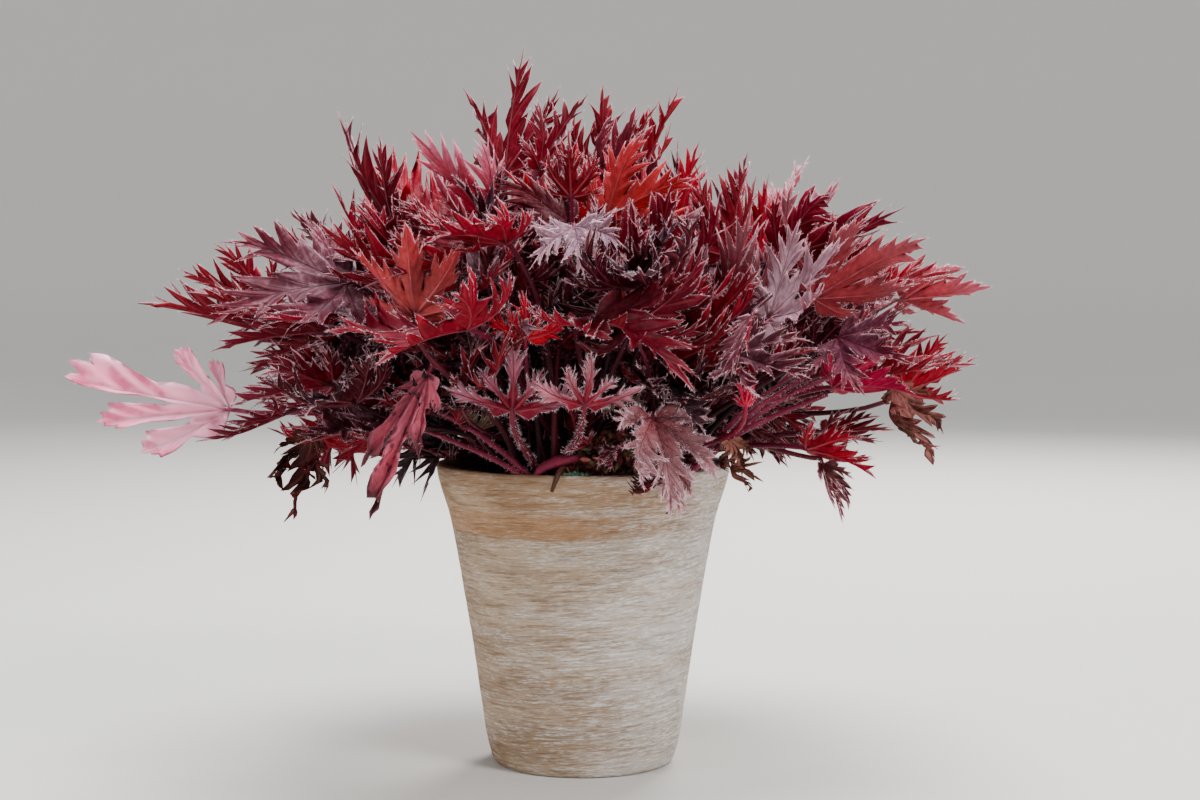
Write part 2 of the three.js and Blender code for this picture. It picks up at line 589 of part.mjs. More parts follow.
// A leaf of a crown: its tip lies on the mound, in the share of directions that the crown fills
function crownLeaf(crown, order, attempt) {
  const random = randomStream(crown.seed + order * CROWN_LEAF_SEED_STEP + attempt);
  const draw = drawsFrom(random);
  const shape = drawnShape(draw);
  const spread = FIRST_SPREAD + (SPREAD_GROWTH * attempt) / TRIES;
  const rank = (order + 0.5 + draw(RANK_SHIFTS) * spread) / LEAVES_ON_CROWN;
  const [lowest, highest] = crown.elevations;
  const height = lerp(Math.sin(radians(lowest)), Math.sin(radians(highest)), rank);
  const elevation = Math.asin(THREE.MathUtils.clamp(height, LOWEST_SINE, 1));
  const swing = ((order * GOLDEN_SHARE) % 1) - 0.5 + draw(SWING_SHIFTS) * spread;
  const azimuth = radians(crown.azimuth + crown.width * swing);
  const layer = LAYERS[(order + crown.order) % LAYERS.length];
  const reach = layer * valueAt(MOUND_REACH_AT, THREE.MathUtils.radToDeg(elevation)) * draw(REACHES);
  const tip = new THREE.Vector3(
    Math.cos(elevation) * Math.cos(azimuth),
    Math.cos(elevation) * Math.sin(azimuth),
    Math.sin(elevation),
  ).multiplyScalar(reach).add(new THREE.Vector3(0, 0, MOUND_HEART));
  const size = draw(CROWN_LEAF_SIZES) * lerp(1, layer, INNER_SIZE_SHARE);
  const base = new THREE.Vector3(crown.x, crown.y, CROWN_TOP);
  const aim = tip.clone().sub(base).normalize();
  const aimAzimuth = Math.atan2(aim.y, aim.x);
  const aimElevation = Math.asin(aim.z);
  const leaf = {
    ...shape,
    azimuth: THREE.MathUtils.radToDeg(aimAzimuth) + draw(CROWN_LEAF_TURNS),
    elevation: THREE.MathUtils.radToDeg(aimElevation) + draw(CROWN_LEAF_DIPS),
    roll: draw(CROWN_LEAF_ROLLS),
    size,
    cup: draw(CROWN_LEAF_CUPS),
    droop: draw(CROWN_LEAF_DROOPS),
    lobes: random() < BROAD_LEAF_SHARE ? BROAD_LOBES : LONG_LOBES,
    spring: draw(CROWN_LEAF_SPRINGS),
    swoop: draw(SWOOPS),
    lean: draw(CROWN_LEAF_LEANS),
    toothedFrom: layer < INNER_LAYER ? INNER_TOOTHED_FROM : TOOTHED_FROM,
    cut: CUT_REACH,
  };
  const { heading } = leafAxes(leaf);
  leaf.at = tip.addScaledVector(heading, -TIP_SHARE * size).toArray();
  const steepness = THREE.MathUtils.clamp(aimElevation / STEEPEST_AIM, 0, 1);
  const rootLift = lerp(radians(ROOT_LIFTS[0]), radians(ROOT_LIFTS[1]), steepness);
  const rootTurn = crown.width < 360 ? radians(crown.azimuth + ROOT_FAN * crown.width * swing) : azimuth;
  leaf.foot = [
    crown.x + ROOT_INSET * Math.cos(rootTurn),
    crown.y + ROOT_INSET * Math.sin(rootTurn),
    lerp(ROOT_LOWEST, ROOT_HIGHEST, (order + 0.5) / LEAVES_ON_CROWN),
  ];
  leaf.rise = [
    Math.cos(rootLift) * Math.cos(rootTurn),
    Math.cos(rootLift) * Math.sin(rootTurn),
    Math.sin(rootLift),
  ];
  return leaf;
}

function potInsideRadius(z) {
  return valueAt(POT_OUTER_RADIUS_AT, z) - POT_WALL_THICKNESS;
}

// Pot: one turned body with a flat underside, a flared lip and drain holes through its floor
function potSolid() {
  const outer = POT_OUTER_RADIUS_AT.map(([z, r]) => [r, z]);
  const inner = [POT_FLOOR_THICKNESS, ...POT_INSIDE_HEIGHTS].map((z) => [potInsideRadius(z), z]).reverse();
  const profile = [
    [0, 0],
    ...outer,
    [LIP_TOP_RADIUS, POT_HEIGHT],
    [LIP_INNER_RADIUS + LIP_BEVEL_WIDTH, POT_HEIGHT],
    [LIP_INNER_RADIUS, POT_HEIGHT - LIP_BEVEL_DEPTH],
    ...inner,
    [0, POT_FLOOR_THICKNESS],
  ];
  let pot = turned(profile, POT_SIDES);
  const holeTop = POT_FLOOR_THICKNESS + DRAIN_HOLE_OVERRUN;
  for (let i = 0; i < DRAIN_HOLES; i += 1) {
    const angle = (FULL_TURN * i) / DRAIN_HOLES;
    const [x, y] = [DRAIN_HOLE_OFFSET * Math.cos(angle), DRAIN_HOLE_OFFSET * Math.sin(angle)];
    const radius = DRAIN_HOLE_RADIUS;
    pot = pot.subtract(post(x, y, -DRAIN_HOLE_OVERRUN, holeTop, radius, radius, DRAIN_HOLE_SIDES));
  }
  return pot;
}

// Soil: fills the pot to a low mound, 0.3 mm clear of its wall and floor
function soilBody() {
  const bottom = POT_FLOOR_THICKNESS + SEAT_GAP;
  const last = POT_INSIDE_HEIGHTS[POT_INSIDE_HEIGHTS.length - 1];
  const share = (SOIL_TOP - last) / (POT_HEIGHT - LIP_BEVEL_DEPTH - last);
  const topRadius = lerp(potInsideRadius(last), LIP_INNER_RADIUS, share) - SEAT_GAP * SEAT_SLANT;
  return turned([
    [0, bottom],
    [potInsideRadius(POT_FLOOR_THICKNESS) - SEAT_GAP * SEAT_SLANT, bottom],
    ...POT_INSIDE_HEIGHTS.map((z) => [potInsideRadius(z) - SEAT_GAP * SEAT_SLANT, z]),
    [topRadius, SOIL_TOP],
    [topRadius * SOIL_SHOULDER_RADIUS_SHARE, SOIL_TOP + SOIL_MOUND * SOIL_SHOULDER_HEIGHT_SHARE],
    [0, SOIL_TOP + SOIL_MOUND],
  ], POT_SIDES);
}

function crownPost(crown) {
  const bottom = SOIL_TOP - CROWN_ROOT_DEPTH;
  return post(crown.x, crown.y, bottom, CROWN_TOP, CROWN_RADIUS_BELOW, CROWN_RADIUS_ABOVE, CROWN_SIDES);
}

function crownHole(crown) {
  const bottom = SOIL_TOP - CROWN_ROOT_DEPTH - SEAT_GAP;
  const radius = CROWN_RADIUS_BELOW + SEAT_GAP * SEAT_SLANT;
  return post(crown.x, crown.y, bottom, CROWN_TOP, radius, radius, CROWN_SIDES);
}

function stemHole(leaf) {
  const [x, y] = leaf.foot;
  const bottom = SOIL_TOP - STEM_DEPTH - SEAT_GAP;
  const radius = STEM_HOLE_RADIUS * (leaf.thickness || 1);
  return post(x, y, bottom, FOOT_HEIGHT + STEM_HOLE_HEADROOM, radius, radius, STEM_HOLE_SIDES);
}

// Crowns: one in the middle and a ring round it, each with its own share of the mound
const CROWNS = [{
  name: "crown_middle",
  x: 0,
  y: 0,
  azimuth: 0,
  width: 360,
  elevations: MIDDLE_CROWN_ELEVATIONS,
}];
for (let i = 0; i < CROWNS_IN_RING; i += 1) {
  const azimuth = CROWN_RING_START + (360 / CROWNS_IN_RING) * i;
  CROWNS.push({
    name: `crown_${i + 1}`,
    x: CROWN_RING_RADIUS * Math.cos(radians(azimuth)),
    y: CROWN_RING_RADIUS * Math.sin(radians(azimuth)),
    azimuth,
    width: RING_CROWN_WIDTH,
    elevations: RING_CROWN_ELEVATIONS,
  });
}
CROWNS.forEach((crown, i) => {
  crown.order = i;
  crown.seed = CROWN_SEED_STEP * (i + 1);
  crown.color = CROWN_COLORS[i];
});

// Growing: every leaf takes the first of its drawn shapes that clears what stands already
function boxesMeet(a, b) {
  return [0, 1, 2].every((axis) => a.min[axis] <= b.max[axis] && b.min[axis] <= a.max[axis]);
}

function isCrowded(crown, box) {
  const reach = (axis, centre) => {
    return Math.max(Math.abs(box.min[axis] - centre), Math.abs(box.max[axis] - centre));
  };
  return Math.hypot(reach(0, crown.x), reach(1, crown.y)) < CROWDED_RADIUS
    && box.max[2] < SOIL_TOP + CROWDED_HEIGHT;
}

function clears(envelope, standing, owner, mayCross) {
  const box = envelope.boundingBox();
  return standing.every((other) => {
    if (!boxesMeet(box, other.box)) return true;
    const shared = envelope.intersect(other.solid);
    if (shared.isEmpty()) return true;
    if (!owner || other.owner !== owner) return false;
    return mayCross || isCrowded(owner, shared.boundingBox());
  });
}

function hollowSolid({ from, to }) {
  return wasm.Manifold.cube(to.map((value, axis) => value - from[axis])).translate(from);
}

function standingPiece(solid, owner) {
  return { solid, box: solid.boundingBox(), owner };
}

const plant = new THREE.Group();
const pot = potSolid();
let soil = soilBody();
for (const crown of CROWNS) soil = soil.subtract(crownHole(crown));
const standing = [standingPiece(pot), ...CROWNS.map((crown) => standingPiece(crownPost(crown), crown))];

SINGLE_LEAVES.forEach((row, order) => {
  for (let attempt = 0; attempt < TRIES; attempt += 1) {
    const leaf = singleLeaf(row, order, attempt);
    const envelope = leafSolid(leaf, CLEARANCE);
    const hole = stemHole(leaf);
    if (!clears(envelope, standing)) continue;
    if (!envelope.intersect(soil.subtract(hole)).isEmpty()) continue;
    const grown = leafSolid(leaf);
    soil = soil.subtract(hole);
    standing.push(standingPiece(grown));
    plant.add(meshOf(row.name, grown, row.color, LEAF_ROUGHNESS));
    return;
  }
});

standing.push(standingPiece(soil), ...HOLLOWS.map((hollow) => standingPiece(hollowSolid(hollow))));
for (const crown of CROWNS) {
  const stems = [crownPost(crown)];
  for (let order = 0; order < LEAVES_ON_CROWN; order += 1) {
    for (let attempt = 0; attempt < CROWN_TRIES; attempt += 1) {
      const leaf = crownLeaf(crown, order, attempt);
      if (lowestTip(leaf) < FOLIAGE_FLOOR) continue;
      const mayCross = attempt > TRIES_CLEAR_OF_OWN_CROWN;
      if (!clears(leafSolid(leaf, CLEARANCE), standing, crown, mayCross)) continue;
      const grown = leafSolid(leaf);
      stems.push(grown);
      standing.push(standingPiece(grown, crown));
      break;
    }
  }
  plant.add(meshOf(crown.name, wasm.Manifold.union(stems), crown.color, LEAF_ROUGHNESS));
}

plant.add(meshOf("pot", pot, POT_COLOR, POT_ROUGHNESS));
plant.add(meshOf("soil", soil, SOIL_COLOR, SOIL_ROUGHNESS));

export default plant;
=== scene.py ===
"""Looks of the potted coral bells.

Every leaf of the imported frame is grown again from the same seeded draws, this time with its teeth,
ruffles, veins and hairs. Lengths are in millimetres until a mesh is written, in the frame's own axes.
"""

import json
import math

import bpy
import numpy as np
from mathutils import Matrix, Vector, noise
from mathutils.kdtree import KDTree


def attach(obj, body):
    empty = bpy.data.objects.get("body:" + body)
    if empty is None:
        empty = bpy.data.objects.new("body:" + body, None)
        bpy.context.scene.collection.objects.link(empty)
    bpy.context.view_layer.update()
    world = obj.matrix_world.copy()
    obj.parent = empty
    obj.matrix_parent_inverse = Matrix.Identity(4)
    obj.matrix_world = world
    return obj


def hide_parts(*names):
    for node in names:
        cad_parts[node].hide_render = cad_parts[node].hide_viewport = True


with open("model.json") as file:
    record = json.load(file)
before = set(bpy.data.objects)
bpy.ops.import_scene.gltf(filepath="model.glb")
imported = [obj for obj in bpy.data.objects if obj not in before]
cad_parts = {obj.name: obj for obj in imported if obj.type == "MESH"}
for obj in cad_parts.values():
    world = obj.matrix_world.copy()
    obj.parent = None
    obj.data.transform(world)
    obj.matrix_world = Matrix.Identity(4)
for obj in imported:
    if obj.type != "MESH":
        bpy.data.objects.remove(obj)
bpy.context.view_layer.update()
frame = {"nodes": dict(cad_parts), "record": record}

MM = 0.001
ALL_BITS = 0xFFFFFFFF
NEARLY_FLAT = 0.01


def srgb(red, green, blue):
    """A colour given as it shows on a screen, as the linear values that a shader takes."""
    channels = np.array([red, green, blue]) / 255.0
    low = channels / 12.92
    high = ((channels + 0.055) / 1.055) ** 2.4
    return np.where(channels <= 0.04045, low, high)


# Sizes of the pot, the soil and the plant, as in the part

POT_HEIGHT = 153.0
POT_OUTER = [
    (0, 44.5), (1.4, 46.2), (12, 49.3), (66, 57), (115, 65.4),
    (128, 68), (134, 70), (142, 72.8), (150.8, 74.8),
]
POT_WALL = 7.0
POT_FLOOR = 9.0
LIP_INNER_RADIUS = 68.4
DRAIN_HOLES = 3
DRAIN_HOLE_RADIUS = 4.0
DRAIN_HOLE_OFFSET = 24.0
SOIL_TOP = 143.0
SOIL_MOUND = 3.0
FOOT_HEIGHT = 148.0
STEM_DEPTH = 10.0

CROWN_RING_RADIUS = 38.0
CROWNS_IN_RING = 6
CROWN_RING_START = 30.0
CROWN_TOP = 167.0
LEAVES_ON_CROWN = 15
TRIES = 100
CROWN_TRIES = 200
MOUND_HEART = 150.0
MOUND_REACH = [(0, 152), (8, 176), (14, 200), (22, 222), (32, 212), (45, 194), (60, 184), (90, 190)]
LAYERS = [1, 0.84, 0.98, 0.7, 0.94]
INNER_LAYER = 0.9
INNER_SIZE_SHARE = 0.6
RING_CROWN_WIDTH = 66
RING_CROWN_ELEVATIONS = (2, 58)
MIDDLE_CROWN_ELEVATIONS = (55, 88)
GOLDEN_SHARE = 0.618034
BROAD_LEAF_SHARE = 0.6
TIP_SHARE = 0.94
ROOT_LOWEST = 149.5
ROOT_HIGHEST = 164.5
ROOT_INSET = 3
ROOT_FAN = 2.6
ROOT_LIFTS = (35, 80)
STEEPEST_AIM = 1.3
LOWEST_SINE = -0.3
SINGLE_SEED = 7000
SINGLE_SEED_STEP = 97
SINGLE_LOOK_SEED = 500
CROWN_SEED_STEP = 100000
CROWN_LEAF_SEED_STEP = 131
HANGING_BELOW = -30
FOOT_SLANT = 0.1

STEM_TOP_RADIUS = 1.2
STEM_ROOT_RADIUS = 1.7
STEM_SET_BACK = 2.4
CUP_WIDTH_SHARE = 0.8
RIPPLES_IN_A_RADIAN = 3
TOOTHED_FROM = 0.65
INNER_TOOTHED_FROM = 0.9

BROAD = [(-82, 0.6), (-40, 0.88), (0, 1), (40, 0.88), (82, 0.6)]
LONG = [(-68, 0.5), (-32, 0.78), (0, 1), (32, 0.78), (68, 0.5)]
PINK = [(-68, 0.36, 12), (-45, 0.53, 10), (-6, 1, 14), (10, 0.82, 12), (37, 0.64, 12)]
NARROW = [(-54, 0.5), (-22, 0.82), (0, 1), (22, 0.85), (54, 0.55)]
STRAP = [(-36, 0.3, 10), (-14, 0.72, 9), (0, 1, 8), (14, 0.56, 9), (36, 0.3, 10)]
ARMS = [(-74, 0.92), (-36, 0.72), (4, 0.9), (42, 0.66), (84, 1)]

CUT_REACH = 0.38
DEEP_CUT_REACH = 0.24
STRAP_CUT_REACH = 0.75
OUTER_SINUS_REACH = 0.26
OUTER_SINUS_ANGLE = 44.0
WIDEST_HALF_ANGLE = 26.0

# The single leaves: name, junction, azimuth, elevation, roll, size, cup, droop, lobes, look, and for some
# more of what they're given
SINGLES = [
    ("pink_leaf", (-176, -20, 181), 190, 6, -62, 78, 20, 12, PINK, "pink", {"sweep": 0}),
    ("dried_leaf_left", (-132, -50, 171), 242, -76, 0, 42, 120, -20, LONG, "dried_dark"),
    ("spotted_leaf", (-72, -95, 204), 212, -66, -50, 73, 60, -12, STRAP, "spotted",
     {"sweep": 0, "cut": STRAP_CUT_REACH}),
    ("rim_leaf", (33, -84, 182), 300, -55, 0, 48, 40, 20, BROAD, "rose", {"foot": (34, -44)}),
    ("hanging_leaf_right", (116, -60, 158), 312, -58, 0, 30, 60, 10, NARROW, "clay"),
    ("dried_leaf_right", (152, -45, 193), 320, -66, 20, 42, 120, -10, LONG, "dried_pale"),
    ("red_leaf_right", (161, -10, 189), 4, 20, -60, 42, 40, 0, BROAD, "crimson"),
    ("crimson_leaf_right", (120, -62, 195), 336, 4, -30, 42, 60, 0, BROAD, "magenta"),
    ("orange_leaf_left", (-77, -112, 231), 262, 66, 0, 46, 50, 0, BROAD, "orange"),
    ("orange_leaf_top", (11, -60, 276), 341, 30, -60, 52, 40, 20, BROAD, "ember"),
    ("orange_leaf_right", (109, -75, 238), 337, 30, -60, 63, 50, 0, LONG, "clay"),
    ("orange_leaf_far_right", (158, -20, 236), 6, 6, -50, 46, 60, 10, LONG, "clay"),
    ("tallest_leaf", (-40, 15, 298), 57, 80, 180, 67, 60, 0, LONG, "plum"),
    ("lilac_leaf", (87, -88, 229), 330, 42, 55, 54, 40, 0, BROAD, "lilac"),
    ("silver_leaf", (-4, -95, 272), 275, -20, 10, 40, 60, 40, BROAD, "silver", {"foot": (6, -26)}),
    ("scarlet_leaf", (-27, -98, 220), 272, 68, 0, 25, 60, 0, ARMS, "scarlet", {"cut": DEEP_CUT_REACH}),
    ("front_leaf_wide", (-33, -96, 186), 267, 70, 0, 36, 20, 0, ARMS, "arms",
     {"foot": (-22, -56), "thickness": 1.35, "cut": DEEP_CUT_REACH}),
    ("front_leaf_small", (-3, -92, 190), 286, 66, 0, 30, 30, 0, ARMS, "arms",
     {"foot": (-10, -52), "cut": DEEP_CUT_REACH}),
    ("top_left_leaf", (-92, -15, 270), 195, 54, 10, 66, 50, -10, LONG, "plum"),
    ("top_leaf_red", (10, -5, 290), 270, 82, 0, 52, 40, 0, LONG, "crimson"),
    ("top_leaf_crimson", (25, 15, 290), 14, 64, -50, 58, 50, 0, LONG, "crimson"),
    ("top_leaf_mauve", (-22, -30, 300), 17, 62, -40, 44, 50, 0, LONG, "mauve"),
    ("star_leaf", (-4, -62, 288), 262, 72, 0, 28, 30, 0, BROAD, "crimson"),
    ("upright_leaf_right", (70, -48, 258), 320, 78, 0, 50, 50, 0, BROAD, "brick"),
    ("left_leaf_long", (-149, -25, 220), 190, 14, 20, 70, 70, 0, LONG, "brick"),
    ("left_leaf_brown", (-159, 0, 235), 186, 20, 40, 46, 60, 0, BROAD, "brick"),
    ("left_leaf_low", (-148, -35, 180), 200, -22, 20, 42, 70, 10, LONG, "mauve"),
    ("left_leaf_dark", (-121, -55, 196), 200, -8, 30, 52, 60, 0, BROAD, "mauve"),
    ("right_leaf_low", (104, -60, 162), 332, -10, -30, 38, 60, 10, BROAD, "crimson"),
    ("right_leaf_lace", (118, -30, 171), 356, 2, -40, 36, 50, 0, NARROW, "mauve"),
    ("right_leaf_dark", (112, -46, 213), 342, 14, -40, 50, 90, 0, LONG, "dark"),
    ("top_right_leaf", (100, 5, 264), 40, 78, -30, 44, 50, 0, LONG, "rose"),
    ("red_bud", (76, -96, 188), 276, 60, 0, 18, 150, 0, NARROW, "bud"),
]

# Colours of a leaf: upper side, under side, ends of the lobes, stalk. Then how silvery its upper side is,
# which is partly its own silver and partly painted sheen of the sky, and how pale its margin
LOOKS = {
    "plum": ((86, 40, 56), (104, 0, 26), (106, 4, 34), (92, 8, 40), 0.35, 0.6),
    "dark": ((40, 16, 30), (54, 0, 16), (56, 2, 20), (58, 4, 26), 0.2, 0.5),
    "mauve": ((118, 74, 86), (108, 4, 30), (128, 48, 66), (100, 18, 46), 0.55, 0.75),
    "lilac": ((180, 136, 152), (112, 12, 38), (174, 122, 140), (118, 40, 66), 0.6, 0.7),
    "silver": ((104, 76, 90), (124, 26, 58), (196, 164, 180), (124, 60, 84), 0.45, 1.0),
    "crimson": ((104, 0, 26), (134, 0, 28), (136, 0, 32), (112, 4, 46), 0.12, 0.4),
    "magenta": ((150, 4, 56), (160, 2, 56), (164, 6, 62), (144, 8, 64), 0.0, 0.2),
    "scarlet": ((176, 0, 34), (178, 0, 30), (190, 4, 44), (140, 6, 52), 0.0, 0.35),
    "brick": ((92, 26, 40), (124, 12, 34), (132, 8, 34), (104, 20, 46), 0.2, 0.5),
    "orange": ((172, 66, 74), (178, 72, 80), (166, 30, 50), (124, 34, 54), 0.1, 0.6),
    "ember": ((166, 44, 50), (172, 52, 56), (170, 18, 38), (130, 20, 44), 0.1, 0.6),
    "clay": ((124, 56, 60), (136, 48, 54), (164, 92, 100), (124, 44, 56), 0.25, 0.75),
    "rose": ((164, 72, 84), (144, 44, 60), (198, 152, 162), (128, 40, 60), 0.45, 0.5),
    "arms": ((138, 60, 78), (134, 26, 50), (200, 146, 162), (132, 36, 58), 0.4, 0.75),
    "pink": ((255, 196, 226), (255, 198, 228), (232, 84, 140), (206, 84, 122), 0.0, 0.2),
    "spotted": ((204, 100, 126), (200, 100, 120), (52, 26, 24), (124, 20, 52), 0.0, 0.2),
    "dried_dark": ((62, 18, 20), (104, 14, 24), (46, 24, 22), (74, 14, 26), 0.0, 0.0),
    "dried_pale": ((142, 96, 80), (126, 70, 60), (80, 50, 42), (116, 40, 44), 0.0, 0.0),
    "bud": ((220, 10, 70), (216, 6, 64), (228, 70, 110), (150, 12, 56), 0.0, 0.1),
    "olive": ((108, 112, 78), (104, 84, 62), (96, 70, 54), (110, 34, 50), 0.3, 0.3),
}

# How often a leaf takes each look, low in the mound and high in it
LOW_LOOKS = [("dark", 4), ("plum", 6), ("crimson", 5), ("brick", 2)]
HIGH_LOOKS = [("plum", 4), ("mauve", 3), ("crimson", 5), ("brick", 2), ("lilac", 3)]
PALE_LOOKS = ("mauve", "lilac")


# Draws and small sums

def random_stream(seed):
    """The part's own generator, so that each draw comes out the same as there."""
    state = seed & ALL_BITS

    def draw():
        nonlocal state
        state = (state + 0x6D2B79F5) & ALL_BITS
        t = state
        t = ((t ^ (t >> 15)) * (t | 1)) & ALL_BITS
        t ^= (t + (((t ^ (t >> 7)) * (t | 61)) & ALL_BITS)) & ALL_BITS
        return ((t ^ (t >> 14)) & ALL_BITS) / 4294967296

    return draw


def draws_from(stream):
    return lambda low, high: low + (high - low) * stream()


def lerp(a, b, t):
    return (1 - t) * a + t * b


def unit(vector):
    return vector / np.linalg.norm(vector)


def direction(azimuth, elevation):
    return np.array([
        math.cos(elevation) * math.cos(azimuth),
        math.cos(elevation) * math.sin(azimuth),
        math.sin(elevation),
    ])


# The leaf's recipe, as in the part

def drawn_shape(draw):
    shape = {"bends": [draw(-0.16, 0.22) for _ in range(5)]}
    shape["twists"] = [draw(-0.45, 0.45) for _ in range(5)]
    shape["keel"] = draw(0.08, 0.26)
    shape["ripple"] = draw(0.02, 0.1)
    shape["phase"] = draw(0, 6.28)
    shape["sweep"] = draw(2, 12)
    return shape


def stand_in_soil(leaf, outward, footing, spot=None):
    """Gives a leaf a stem that leaves the soil at spot, or footing away from the axis, and leans outward."""
    across = (math.cos(outward), math.sin(outward))
    x, y = spot or (footing * across[0], footing * across[1])
    leaf["foot"] = np.array([x, y, FOOT_HEIGHT])
    leaf["root"] = np.array([x, y, SOIL_TOP - STEM_DEPTH])
    leaf["rise"] = (FOOT_SLANT * across[0], FOOT_SLANT * across[1], 1)


def single_leaf(row, order, attempt):
    _, at, azimuth, elevation, roll, size, cup, droop, lobes, look, *rest = row
    draw = draws_from(random_stream(SINGLE_SEED + order * SINGLE_SEED_STEP + attempt))
    looseness = attempt / TRIES
    outward = math.atan2(at[1], at[0]) + draw(-0.5, 0.5)
    footing = draw(14, 60)
    given = rest[0] if rest else {}
    leaf = drawn_shape(draw)
    leaf["sweep"] = given.get("sweep", leaf["sweep"])
    leaf["at"] = np.array([value + draw(-7, 7) * looseness for value in at])
    leaf["azimuth"] = azimuth + draw(-12, 12) * looseness
    leaf["elevation"] = elevation + draw(-12, 12) * looseness
    stand_in_soil(leaf, outward, footing, given.get("foot"))
    leaf["spring"] = draw(0.2, 0.45)
    leaf["swoop"] = draw(0.2, 0.4)
    leaf["lean"] = draw(60, 80) if elevation < HANGING_BELOW else draw(5, 35)
    leaf["toothed_from"] = TOOTHED_FROM
    leaf["cut"] = given.get("cut", CUT_REACH)
    leaf["thickness"] = given.get("thickness", 1)
    leaf.update(roll=roll, size=size, cup=cup, droop=droop, lobes=lobes, look=look)
    return leaf


def crown_leaf(crown, order, attempt):
    stream = random_stream(crown["seed"] + order * CROWN_LEAF_SEED_STEP + attempt)
    draw = draws_from(stream)
    leaf = drawn_shape(draw)
    spread = 0.5 + (1.5 * attempt) / TRIES
    rank = (order + 0.5 + draw(-0.5, 0.5) * spread) / LEAVES_ON_CROWN
    lowest, highest = crown["elevations"]
    height = lerp(math.sin(math.radians(lowest)), math.sin(math.radians(highest)), rank)
    elevation = math.asin(min(1, max(LOWEST_SINE, height)))
    swing = ((order * GOLDEN_SHARE) % 1) - 0.5 + draw(-0.12, 0.12) * spread
    azimuth = math.radians(crown["azimuth"] + crown["width"] * swing)
    layer = LAYERS[(order + crown["order"]) % len(LAYERS)]
    reach = layer * np.interp(math.degrees(elevation), *zip(*MOUND_REACH)) * draw(0.94, 1.03)
    tip = direction(azimuth, elevation) * reach + np.array([0, 0, MOUND_HEART])
    size = draw(56, 80) * lerp(1, layer, INNER_SIZE_SHARE)
    aim = unit(tip - np.array([crown["x"], crown["y"], CROWN_TOP]))
    aim_elevation = math.asin(aim[2])
    leaf["azimuth"] = math.degrees(math.atan2(aim[1], aim[0])) + draw(-22, 22)
    leaf["elevation"] = math.degrees(aim_elevation) + draw(-28, 12)
    leaf["roll"] = draw(-50, 50)
    leaf["size"] = size
    leaf["cup"] = draw(35, 105)
    leaf["droop"] = draw(-12, 24)
    leaf["lobes"] = BROAD if stream() < BROAD_LEAF_SHARE else LONG
    leaf["spring"] = draw(0.22, 0.4)
    leaf["swoop"] = draw(0.2, 0.4)
    leaf["lean"] = draw(5, 40)
    leaf["toothed_from"] = INNER_TOOTHED_FROM if layer < INNER_LAYER else TOOTHED_FROM
    leaf["cut"] = CUT_REACH
    leaf["thickness"] = 1
    leaf["layer"] = layer
    leaf["at"] = tip - TIP_SHARE * size * leaf_axes(leaf)[0]
    steepness = min(1, max(0, aim_elevation / STEEPEST_AIM))
    lift = lerp(*np.radians(ROOT_LIFTS), steepness)
    turn = azimuth
    if crown["width"] < 360:
        turn = math.radians(crown["azimuth"] + ROOT_FAN * crown["width"] * swing)
    leaf["foot"] = np.array([
        crown["x"] + ROOT_INSET * math.cos(turn),
        crown["y"] + ROOT_INSET * math.sin(turn),
        lerp(ROOT_LOWEST, ROOT_HIGHEST, (order + 0.5) / LEAVES_ON_CROWN),
    ])
    leaf["rise"] = direction(turn, lift)
    return leaf


def leaf_axes(leaf):
    """The leaf's axes in the plant: along the midrib, to its left, and out of its upper side."""
    azimuth, roll = math.radians(leaf["azimuth"]), math.radians(leaf["roll"])
    heading = direction(azimuth, math.radians(leaf["elevation"]))
    level = np.array([-math.sin(azimuth), math.cos(azimuth), 0])
    side = level * math.cos(roll) + np.cross(heading, level) * math.sin(roll)
    return heading, side, np.cross(heading, side)


def lobes_of(leaf):
    rows = leaf["lobes"]
    last = len(rows) - 1
    lobes = []
    for i, (angle, reach, *widest) in enumerate(rows):
        before = rows[i - 1] if i > 0 else (angle - 2 * OUTER_SINUS_ANGLE, reach)
        after = rows[i + 1] if i < last else (angle + 2 * OUTER_SINUS_ANGLE, reach)
        share_before = leaf["cut"] if i > 0 else OUTER_SINUS_REACH
        share_after = leaf["cut"] if i < last else OUTER_SINUS_REACH
        lobes.append({
            "angle": angle,
            "reach": reach * leaf["size"],
            "right": (angle - before[0]) / 2,
            "left": (after[0] - angle) / 2,
            "right_sinus": share_before * min(reach, before[1]) * leaf["size"],
            "left_sinus": share_after * min(reach, after[1]) * leaf["size"],
            "bend": leaf["bends"][i],
            "twist": leaf["twists"][i],
            "toothed": reach > leaf["toothed_from"],
            "widest": widest[0] if widest else WIDEST_HALF_ANGLE,
            "first": i == 0,
            "last": i == last,
        })
    return lobes


